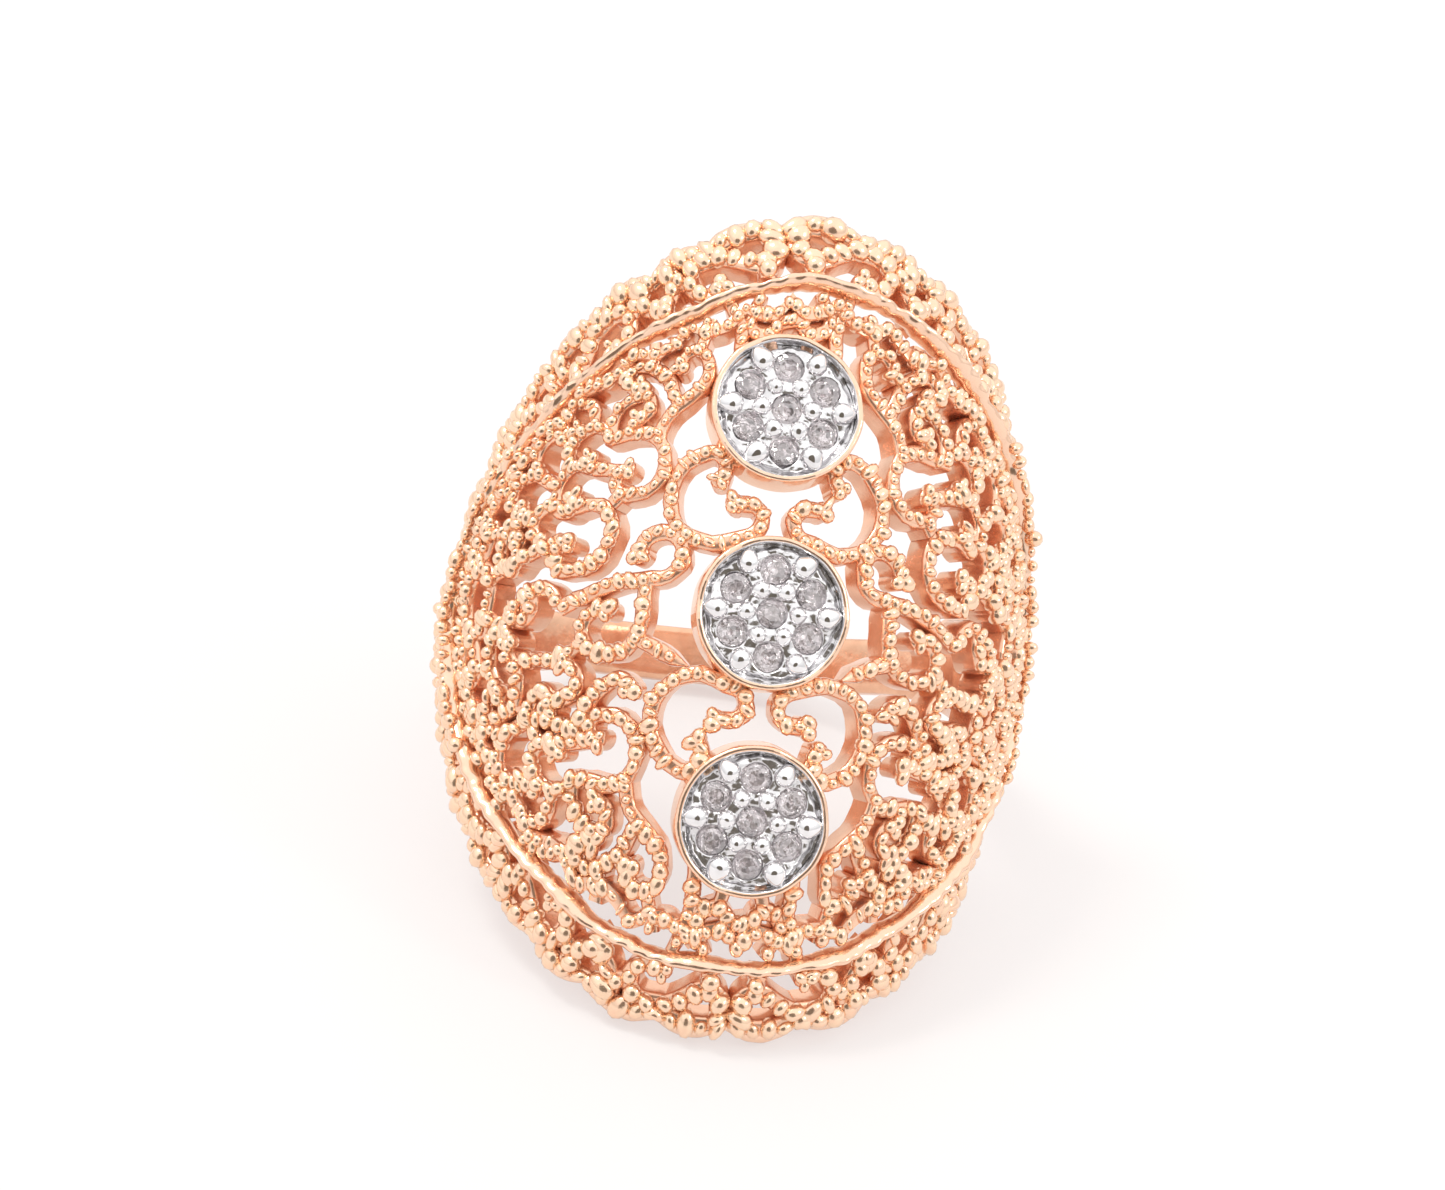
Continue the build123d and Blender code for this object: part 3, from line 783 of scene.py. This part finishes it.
quarters, quarter_places = lay_scrolls(QUARTER_SCROLLS, DISC_PITCH, LACE_DEPTH, 1.0, QUARTERS)
halves, half_places = lay_scrolls(HALF_SCROLLS, DISC_PITCH, LACE_DEPTH, 1.0, HALVES)
lace = join(halves + quarters, "lace_scrolls")
wrap(lace, lace_wrap)
smooth(lace)
lace_beading = lay_grains("lace_grains", grown(half_places + quarter_places), lace_wrap)


def scallop_line(stations, aside=0.0):
    """Flat places of the beaded row inside the rail, which swings in small arches."""
    arches = np.abs(np.sin(np.radians(stations) * SCALLOPS / 2))
    return rail_flat(stations, SCALLOP_INSIDE + SCALLOP_SWING * arches + aside)


def make_scallop_row():
    """Strip of the beaded row: a flat sheet is rolled up along its line."""
    row, share, side = rolled_sheet("rail_row", *ROW_GRID)
    width = STRIP_WIDTH / 2 * signed_power(np.sin(side), ROW_SOFTNESS)
    height = np.where(np.cos(side) > 0, 0.0, -LACE_DEPTH) + ROW_ROUNDING * np.cos(side) - STRIP_DROP
    across, along = scallop_line(share * 360.0 - 180.0, width)
    write_points(row, np.stack([across, along, height], 1))
    wrap(row, lace_wrap)
    tidy_mesh(row)
    smooth(row)
    return row


def scallop_grains():
    """Grain places along that row."""
    line = np.stack(scallop_line(np.linspace(-180.0, 180.0, ROW_SAMPLES)), 1)
    length = run_lengths(line)
    places = []
    for distance in np.arange(0.0, length[-1] - GRAIN_PITCH / 2, GRAIN_PITCH):
        pair = [distance, distance + 0.1 * MM]
        x, ahead_x = np.interp(pair, length, line[:, 0])
        y, ahead_y = np.interp(pair, length, line[:, 1])
        slant = np.arctan2(ahead_y - y, ahead_x - x) - radians(90) + rng.normal(0.0, ROW_GRAIN_SLANT)
        rise = ROW_GRAIN_RISE + rng.normal(0.0, ROW_GRAIN_LIFT)
        places.append((x, y, rise, slant, 1.0 + rng.normal(0.0, ROW_GRAIN_SIZES)))
    return places


rail_row = make_scallop_row()
row_beading = lay_grains("rail_row_grains", scallop_grains(), lace_wrap)

# Skirt: one unit is repeated round the edge, every second one turned over
skirt_parts, skirt_places = lay_scrolls(
    SKIRT_SCROLLS, UNIT_LENGTH / UNIT_SPAN, SKIRT_DEPTH, SKIRT_GRAIN,
    [(1 - 2 * (number % 2), 1, (number + number % 2) * UNIT_LENGTH)
     for number in range(-2 * UNITS_PER_QUARTER, 2 * UNITS_PER_QUARTER)])
skirt = join(skirt_parts, "skirt_scrolls")
wrap(skirt, skirt_wrap)
smooth(skirt)
skirt_beading = lay_grains("skirt_grains", skirt_places, skirt_wrap)


def rolled_wire(name, width, height, down, out, unevenness, surface):
    """A wire round the ring's edge: a flat sheet is rolled to a tube and closed on itself."""
    wire, share, turn = rolled_sheet(name, *WIRE_GRID)
    along = 2 * pi * share
    waves = sum(size * np.sin(count * along + spins * turn + phase) * np.sin(beats * along + beat_phase)
                for size, count, spins, phase, beats, beat_phase in WIRE_WAVES)
    uneven = 1.0 + unevenness * waves
    sways, shift, shifts = WIRE_SWAY
    sway = unevenness * width * np.sin(sways * along + shift * np.sin(shifts * along))
    write_points(wire, np.stack([share * 2 * HALF_ROUND, down + sway - width / 2 * uneven * np.cos(turn),
                                 out + height / 2 * uneven * np.sin(turn)], 1))
    wrap(wire, surface)
    tidy_mesh(wire)
    smooth(wire, 60.0)
    return wire


rail = rolled_wire("rail_wire", RAIL_WIDTH, RAIL_HEIGHT, 0.0, 0.0, RAIL_UNEVEN, edge_wrap)
base_wire = rolled_wire("base_wire", BASE_WIRE_DIAMETER, BASE_WIRE_DIAMETER, BASE_WIRE_DOWN,
                        BASE_WIRE_OUT, BASE_WIRE_UNEVEN, skirt_wrap)


def buried_rail_grains():
    """At both sides the rail is buried in beads: two rows of grains on its top and outer flank."""
    places = []
    for down, out in BURIED_ROWS:
        for around in np.arange(-HALF_ROUND, HALF_ROUND, GRAIN_PITCH):
            station = np.interp(around, edge_length, edge_stations) + rng.normal(0.0, BURIED_DOUBT)
            if any(start < station < end for start, end in BURIED):
                places.append((around, down + rng.normal(0.0, BURIED_DOWN),
                               out + rng.normal(0.0, BURIED_OUT), rng.uniform(0.0, pi),
                               BURIED_SIZE + rng.normal(0.0, BURIED_SIZES)))
    return places


rail_beading = lay_grains("rail_grains", buried_rail_grains(), edge_wrap)
bpy.data.objects.remove(grain)


def band_section(angle):
    """Band at an angle from the dome's middle: (inner radius, outer radius, width)."""
    off = np.abs(angle)
    share = np.clip((SHOULDER_LOW_ANGLE - off) / (SHOULDER_LOW_ANGLE - SHOULDER_HIGH_ANGLE), 0.0, 1.0)
    eased = share * share * (3 - 2 * share)
    tucked = np.clip((SHOULDER_TUCK_ANGLE - off) / SHOULDER_TUCK_EASE, 0.0, 1.0)
    outer = BORE_RADIUS + BAND_THICKNESS + SHOULDER_RISE * eased - SHOULDER_TUCK * tucked
    # The inner side lifts over the shoulder's last sixth
    inner = BORE_RADIUS + SHOULDER_LIFT * np.clip(6 * share - 5, 0.0, 1.0)
    return inner, outer, BAND_WIDTH + (SHOULDER_WIDTH - BAND_WIDTH) * eased


def make_band():
    """Band and shoulders: a flat sheet rolled to a soft rectangle and bent round the finger."""
    band, share, turn = rolled_sheet("band", *BAND_GRID)
    swing = SHOULDER_HIGH_ANGLE + share * 2 * (180.0 - SHOULDER_HIGH_ANGLE)
    inner, outer, width = band_section(np.where(swing > 180.0, swing - 360.0, swing))
    out = signed_power(np.cos(turn), BAND_SOFTNESS)
    wide = signed_power(np.sin(turn), BAND_SOFTNESS)
    radius = (inner + outer) / 2 + out * (outer - inner) / 2 - BAND_CROWN * wide**2 * (out > 0)
    theta = np.radians(swing)
    points = np.stack([radius * np.sin(theta), wide * width / 2, radius * np.cos(theta)], 1)
    write_points(band, to_world(points))
    tidy_mesh(band)
    edit(band)
    bpy.ops.mesh.fill_holes(sides=0)
    close_outwards()
    smooth(band, 50.0)
    return band


band = make_band()


def place_flat(obj, place):
    """Stand a flat cluster piece on the dome."""
    along = place * DISC_PITCH
    corners = to_world(dome_wrap(np.array([[0, along, 0], [0, along, MM]])))
    origin, out = Vector(corners[0]), Vector(corners[1] - corners[0]).normalized()
    across = Vector((1, 0, 0))
    axes = Matrix((across, out.cross(across), out)).transposed()
    obj.data.transform(Matrix.Translation(origin) @ axes.to_4x4())
    obj.data.update()


def make_rim(name):
    """A cluster's rim: its section is spun once round, and rubbed a little uneven."""
    rim = upright_section(name, RIM_THICKNESS, RIM_RISE + RIM_DEPTH, DISC_RADIUS - RIM_THICKNESS / 2,
                          RIM_RISE, RIM_ROUNDING)
    edit(rim)
    bpy.ops.mesh.spin(steps=RIM_STEPS, dupli=False, angle=radians(360), center=(0, 0, 0), axis=(0, 0, 1))
    close_edit()
    tidy_mesh(rim)
    points = read_points(rim)
    turn = np.arctan2(points[:, 1], points[:, 0])
    wave = sum(size * np.sin(count * turn + phase)
               for (count, size), phase in zip(RIM_WAVES, rng.uniform(0, 2 * pi, len(RIM_WAVES))))
    points[:, 2] += RIM_WAVER * wave * (points[:, 2] > 0)
    points[:, :2] *= (1 + RIM_OUT_OF_ROUND * wave)[:, None]
    write_points(rim, points)
    for face in rim.data.polygons:
        inward = face.center.x * face.normal.x + face.center.y * face.normal.y < RIM_INWARD
        face.material_index = 1 if inward else 0
    smooth(rim, 50.0)
    return rim


def ring_spot(radius, count):
    """Place on a ring round a cluster's middle, counted in spaces between its stones."""
    turn = 2 * pi * count / STONES_ROUND
    return radius * cos(turn), radius * sin(turn)


STONE_SPOTS = [(0.0, 0.0)] + [ring_spot(STONE_RING, count + 0.5) for count in range(STONES_ROUND)]
BEAD_SPOTS = [(*ring_spot(ring, count), diameter, tail, swing)
              for count in range(STONES_ROUND) for ring, diameter, tail, swing in BEAD_ROWS]


def plate_height(x, y, reach, turn):
    """Height of a plate: rough metal, raised to the beads and cut away at its edge and round the stones."""
    z = np.full_like(x, PLATE_RISE)
    for per_x, per_y, phase in PLATE_WAVES:
        z += PLATE_ROUGHNESS * (np.abs(np.sin((per_x * x + per_y * y) / MM + phase)) - 0.5)
    nicks = PLATE_NICKS[1] * np.abs(np.sin(PLATE_NICKS[0] * turn))
    edge = PLATE_EDGE + nicks + PLATE_WAVER[1] * np.sin(PLATE_WAVER[0] * turn + 1.0)
    z -= PLATE_EDGE_DROP * np.clip((reach / PLATE_RADIUS - edge) / PLATE_EDGE_SLOPE, 0, 1)
    for bead_x, bead_y, diameter, tail, swing in BEAD_SPOTS:
        away = np.hypot(x - bead_x, y - bead_y) / diameter
        z += BEAD_MOUND * np.exp(-(away / BEAD_MOUND_REACH) ** 2)
    for stone_x, stone_y in STONE_SPOTS:
        within = HOLLOW_REACH - np.hypot(x - stone_x, y - stone_y) / (STONE_DIAMETER / 2)
        seat = np.clip(within / HOLLOW_EDGE, 0, 1)
        hollow = PLATE_RISE - HOLLOW_DROP - HOLLOW_SLOPE * STONE_DIAMETER * within
        z = z * (1 - seat) + seat * hollow
    return z


def make_bead(x, y, diameter, tail, swing):
    """A plate's bead: a ball drawn out to a lower tail on its outer side."""
    bead = ball("plate_bead", BEAD_GRID, diameter)
    points = read_points(bead)
    outer = np.clip(-points[:, 0] / (diameter / 2), 0, 1)
    points[:, 0] -= tail * diameter * outer**2
    points[:, 1] *= 1 - BEAD_TAIL_WIDTH * outer
    points[:, 2] *= 1 - BEAD_TAIL_HEIGHT * outer
    points *= rng.normal(1.0, BEAD_SIZES)
    points = turned(points, np.arctan2(y, x) + pi + rng.normal(0.0, swing))
    write_points(bead, points + [x, y, BEAD_RISE])
    return bead


def make_plate(name):
    """White plate with its beads: a sheet is rolled to a disc, shaped and given its thickness."""
    plate, share, turn = rolled_sheet(name, *PLATE_GRID)
    reach = share * PLATE_RADIUS
    x, y = reach * np.cos(turn), reach * np.sin(turn)
    write_points(plate, np.stack([x, y, plate_height(x, y, reach, turn)], 1))
    tidy_mesh(plate, 0.0003 * MM)
    edit(plate)
    bpy.ops.mesh.select_all(action="DESELECT")
    bpy.ops.mesh.select_non_manifold(extend=False)
    extrude(0, 0, -PLATE_THICKNESS)
    bpy.ops.mesh.edge_face_add()
    close_outwards()
    sheet_faces = len(plate.data.polygons)
    plate = join([plate] + [make_bead(*spot) for spot in BEAD_SPOTS], name)
    for face in plate.data.polygons:
        face.material_index = 0 if face.index < sheet_faces else 1
    smooth(plate, 55.0)
    return plate


def make_stone(name, x, y):
    """A round brilliant, a little askew: its corners are rings of points, closed by flat facets."""
    stone = begin(name, bpy.ops.mesh.primitive_circle_add, vertices=16, radius=STONE_DIAMETER / 2)
    edit(stone)
    for corners, reach, height, turn in STONE_RINGS:
        bpy.ops.mesh.primitive_circle_add(
            vertices=corners, radius=reach * STONE_DIAMETER / 2,
            location=(0, 0, height * STONE_DIAMETER), rotation=(0, 0, radians(turn)))
    bpy.ops.mesh.select_all(action="SELECT")
    bpy.ops.mesh.convex_hull(join_triangles=True, face_threshold=radians(2), shape_threshold=radians(40))
    close_outwards()
    points = turned(read_points(stone), rng.uniform(0, pi))
    points[:, 2] += points[:, :2] @ rng.normal(0.0, STONE_ASKEW, 2)
    write_points(stone, points + [x, y, STONE_RISE])
    return stone


rims, plates, stones = [], {}, {}
for cluster, place in CLUSTERS.items():
    rims.append(make_rim("rim_" + cluster))
    place_flat(rims[-1], place)
    plate = make_plate("plate_" + cluster)
    place_flat(plate, place)
    plates["cluster_plate_" + cluster] = plate
    for number, spot in enumerate(STONE_SPOTS):
        stone = make_stone("brilliant_" + cluster + "_" + str(number), *spot)
        place_flat(stone, place)
        stones["stone_" + cluster + "_" + str(number)] = stone


def set_sockets(node, values):
    """Set a node's input sockets by name."""
    for socket, value in values.items():
        node.inputs[socket].default_value = value


def add_node(nodes, kind, values):
    """A shader node with its sockets set."""
    node = nodes.new("ShaderNode" + kind)
    set_sockets(node, values)
    return node


def connect(links, wires):
    """Link sockets, each wire given as (node, its output, node, its input)."""
    for start, output, end, entry in wires:
        links.new(start.outputs[output], end.inputs[entry])


def new_material(name, values):
    """A material whose shader has its sockets set: (material, nodes, links, shader)."""
    material = bpy.data.materials.new(name)
    material.use_nodes = True
    nodes, links = material.node_tree.nodes, material.node_tree.links
    shader = nodes["Principled BSDF"]
    set_sockets(shader, values)
    return material, nodes, links, shader


def cast_surface_group():
    """Shared effect of uneven cast and polished metal: its colour, roughness and normal."""
    group = bpy.data.node_groups.new("cast_surface", "ShaderNodeTree")
    for way, label, kind in (("INPUT", "Colour", "Color"), ("INPUT", "Deep colour", "Color"),
                             ("INPUT", "Roughness", "Float"), ("INPUT", "Uneven", "Float"),
                             ("INPUT", "Scale", "Float"), ("INPUT", "Fine scale", "Float"),
                             ("OUTPUT", "Colour", "Color"), ("OUTPUT", "Roughness", "Float"),
                             ("OUTPUT", "Normal", "Vector")):
        group.interface.new_socket(name=label, in_out=way, socket_type="NodeSocket" + kind)
    nodes = group.nodes
    source, result = nodes.new("NodeGroupInput"), nodes.new("NodeGroupOutput")
    place = add_node(nodes, "TexCoord", {})
    broad = add_node(nodes, "TexNoise", {"Detail": 3.0})
    fine = add_node(nodes, "TexNoise", {"Detail": 2.0})
    blotch = add_node(nodes, "MapRange", {"From Min": 0.42, "From Max": 0.68})
    tint = nodes.new("ShaderNodeMix")
    tint.data_type = "RGBA"
    rough = add_node(nodes, "Math", {1: 0.12})
    rough.operation = "MULTIPLY_ADD"
    first = add_node(nodes, "Bump", {"Distance": 0.04 * MM})
    second = add_node(nodes, "Bump", {"Distance": 0.006 * MM})
    connect(group.links, [
        (place, "Object", broad, "Vector"), (source, "Scale", broad, "Scale"),
        (place, "Object", fine, "Vector"), (source, "Fine scale", fine, "Scale"),
        (broad, "Fac", blotch, "Value"), (blotch, "Result", tint, "Factor"),
        (source, "Colour", tint, "A"), (source, "Deep colour", tint, "B"),
        (tint, "Result", result, "Colour"),
        (fine, "Fac", rough, 0), (source, "Roughness", rough, 2), (rough, 0, result, "Roughness"),
        (source, "Uneven", first, "Strength"), (broad, "Fac", first, "Height"),
        (source, "Uneven", second, "Strength"), (fine, "Fac", second, "Height"),
        (first, "Normal", second, "Normal"), (second, "Normal", result, "Normal")])
    return group


cast_surface = cast_surface_group()


def metal(name, colour, deep, roughness, uneven, scale, fine_scale, metallic=1.0):
    """A metal material whose unevenness comes from the shared group."""
    material, nodes, links, shader = new_material(name, {"Metallic": metallic})
    surface = nodes.new("ShaderNodeGroup")
    surface.node_tree = cast_surface
    set_sockets(surface, {"Colour": (*colour, 1), "Deep colour": (*deep, 1), "Roughness": roughness,
                          "Uneven": uneven, "Scale": scale, "Fine scale": fine_scale})
    connect(links, [(surface, "Colour", shader, "Base Color"), (surface, "Roughness", shader, "Roughness"),
                    (surface, "Normal", shader, "Normal")])
    return material


# Metals: (colour, deeper colour, roughness, unevenness, scale and fine scale of the noise, metallic)
ROSE = (0.96, 0.64, 0.46)
# The strips' gold is darker than the grains' gold, as painted shade on the strip walls between the grains.
# The grains' gold is paler, as a painted highlight on their tops. Each one mottles at random between its
# two colours.
scroll_gold = metal("scroll_gold", (0.93, 0.59, 0.42), (0.86, 0.49, 0.33), 0.18, 0.6, 900.0, 6000.0, 0.88)
lit_grain_gold = metal("lit_grain_gold", (0.97, 0.70, 0.50), ROSE, 0.13, 0.7, 1900.0, 7000.0, 0.92)
polished_gold = metal("polished_gold", (0.95, 0.66, 0.49), ROSE, 0.12, 0.8, 900.0, 3500.0, 0.95)
# The band's gold is a deeper orange than the rest: a painted reflection of the dome's orange inside on the
# band's inner face, also mottled at random.
band_gold = metal("band_gold", (0.89, 0.54, 0.36), (0.80, 0.45, 0.29), 0.16, 0.75, 1100.0, 3600.0, 0.92)
white_metal = metal("white_metal", (0.86, 0.85, 0.86), (0.70, 0.69, 0.70), 0.12, 1.0, 2400.0, 7200.0)
bead_metal = metal("bead_metal", (0.88, 0.87, 0.88), (0.80, 0.79, 0.80), 0.0, 0.25, 1400.0, 6000.0)


def stone_material():
    """Clear small brilliant, faintly pink and clouded, with a worn surface."""
    material, nodes, links, shader = new_material(
        "small_diamond", {"Metallic": 0.0, "Transmission Weight": 0.90, "IOR": 2.4, "Roughness": 0.0})
    place = add_node(nodes, "TexCoord", {})
    cloud = add_node(nodes, "TexNoise", {"Scale": 1600.0})
    ramp = add_node(nodes, "ValToRGB", {})
    ramp.color_ramp.elements[0].color = (0.97, 0.85, 0.88, 1)
    ramp.color_ramp.elements[1].color = (1.0, 0.96, 0.97, 1)
    haze = add_node(nodes, "TexNoise", {"Scale": 2600.0, "Detail": 1.0})
    worn = add_node(nodes, "Bump", {"Strength": 1.0, "Distance": 0.10 * MM})
    connect(links, [(place, "Object", cloud, "Vector"), (cloud, "Fac", ramp, "Fac"),
                    (ramp, "Color", shader, "Base Color"), (place, "Object", haze, "Vector"),
                    (haze, "Fac", worn, "Height"), (worn, "Normal", shader, "Normal")])
    return material


small_diamond = stone_material()


def finish_piece(obj, materials):
    """Give a piece its materials and its body."""
    for material in materials:
        obj.data.materials.append(material)
    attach(obj, "root")


for material, pieces in ((scroll_gold, [lace, skirt, rail_row]), (polished_gold, [rail, base_wire]),
                         (lit_grain_gold, [lace_beading, row_beading, skirt_beading, rail_beading]),
                         (band_gold, [band])):
    for piece in pieces:
        finish_piece(piece, [material])
for rim in rims:
    finish_piece(rim, [polished_gold, white_metal])
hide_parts("openwork_ring")
for node, plate in plates.items():
    finish_piece(plate, [white_metal, bead_metal])
    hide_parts(node)
for node, stone in stones.items():
    finish_piece(stone, [small_diamond])
    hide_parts(node)


def make_camera():
    """Camera that looks at the finger hole's middle from a little below and left of the dome's normal."""
    data = bpy.data.cameras.new("camera")
    camera = bpy.data.objects.new("camera", data)
    bpy.context.collection.objects.link(camera)
    turn = Matrix(RING_WAYS).transposed()
    for axis, angle in CAMERA_TURNS:
        turn = turn @ Matrix.Rotation(radians(angle), 3, axis)
    camera.matrix_world = turn.to_4x4() @ Matrix.Translation((0, 0, CAMERA_DISTANCE))
    data.lens = FOCAL_PIXELS / FRAME_WIDTH * data.sensor_width
    data.shift_x = (FRAME_WIDTH / 2 - VIEW_CENTRE[0]) / FRAME_WIDTH
    data.shift_y = (VIEW_CENTRE[1] - FRAME_HEIGHT / 2) / FRAME_WIDTH
    data.clip_start = CAMERA_NEAREST
    bpy.context.scene.camera = camera
    return camera


def make_floor():
    """White floor under the ring. It glows, as a painted fill light that lifts its shadows. The glow is
    warmer than its cool base colour, so its shadows turn pink, as a painted glow of light bounced off the
    gold.
    """
    floor = begin("floor", bpy.ops.mesh.primitive_plane_add, size=FLOOR_SIZE, location=(0, 0, cad_low.z))
    bpy.ops.object.transform_apply()
    # The floor's glow is painted light: a warm emission over a cooler base colour, so that its shadows read
    # pink.
    floor.data.materials.append(new_material("glowing_white_floor", {
        "Base Color": (0.30, 0.31, 0.31, 1), "Emission Color": (1.0, 0.93, 0.92, 1),
        "Emission Strength": 0.575, "Roughness": 0.45, "Specular IOR Level": 0.3})[0])


def soft_light(name, place, size, watts):
    """A square soft light, a little warm, aimed at the ring."""
    data = bpy.data.lights.new(name, "AREA")
    data.color = LIGHT_COLOUR
    data.size = size
    data.energy = watts
    light = bpy.data.objects.new(name, data)
    bpy.context.collection.objects.link(light)
    light.location = place
    light.rotation_euler = Vector(place).to_track_quat("Z", "Y").to_euler()


def make_dark_card(camera):
    """Dark card beyond the camera, which only reflections and refractions see."""
    card = begin("dark_card", bpy.ops.mesh.primitive_circle_add, vertices=64, radius=CARD_RADIUS,
                 fill_type="NGON")
    away = camera.matrix_world.to_3x3() @ Vector((0, CARD_LEAN, 1))
    card.data.transform(Matrix.Translation(away.normalized() * CARD_DISTANCE)
                        @ away.to_track_quat("Z", "Y").to_matrix().to_4x4())
    card.visible_camera = False
    card.visible_diffuse = False
    card.visible_shadow = False
    card.data.materials.append(new_material("dark_card", {
        "Base Color": (0.14, 0.12, 0.095, 1), "Roughness": 0.9})[0])


def studio_world():
    """Soft white surroundings, brighter overhead than at the horizon."""
    world = bpy.data.worlds.new("studio")
    bpy.context.scene.world = world
    world.use_nodes = True
    nodes = world.node_tree.nodes
    place = add_node(nodes, "TexCoord", {})
    split = add_node(nodes, "SeparateXYZ", {})
    ramp = add_node(nodes, "MapRange", {"From Min": 0.10, "From Max": 0.60, "To Min": 0.84, "To Max": 1.26})
    background = nodes["Background"]
    set_sockets(background, {"Color": (1.0, 0.99, 0.985, 1)})
    connect(world.node_tree.links, [(place, "Generated", split, "Vector"), (split, "Z", ramp, "Value"),
                                    (ramp, "Result", background, "Strength")])


make_floor()
make_dark_card(make_camera())
studio_world()
for light in LIGHTS:
    soft_light(*light)
bpy.context.scene.view_settings.view_transform = "Standard"
bpy.context.scene.cycles.glossy_bounces = 5
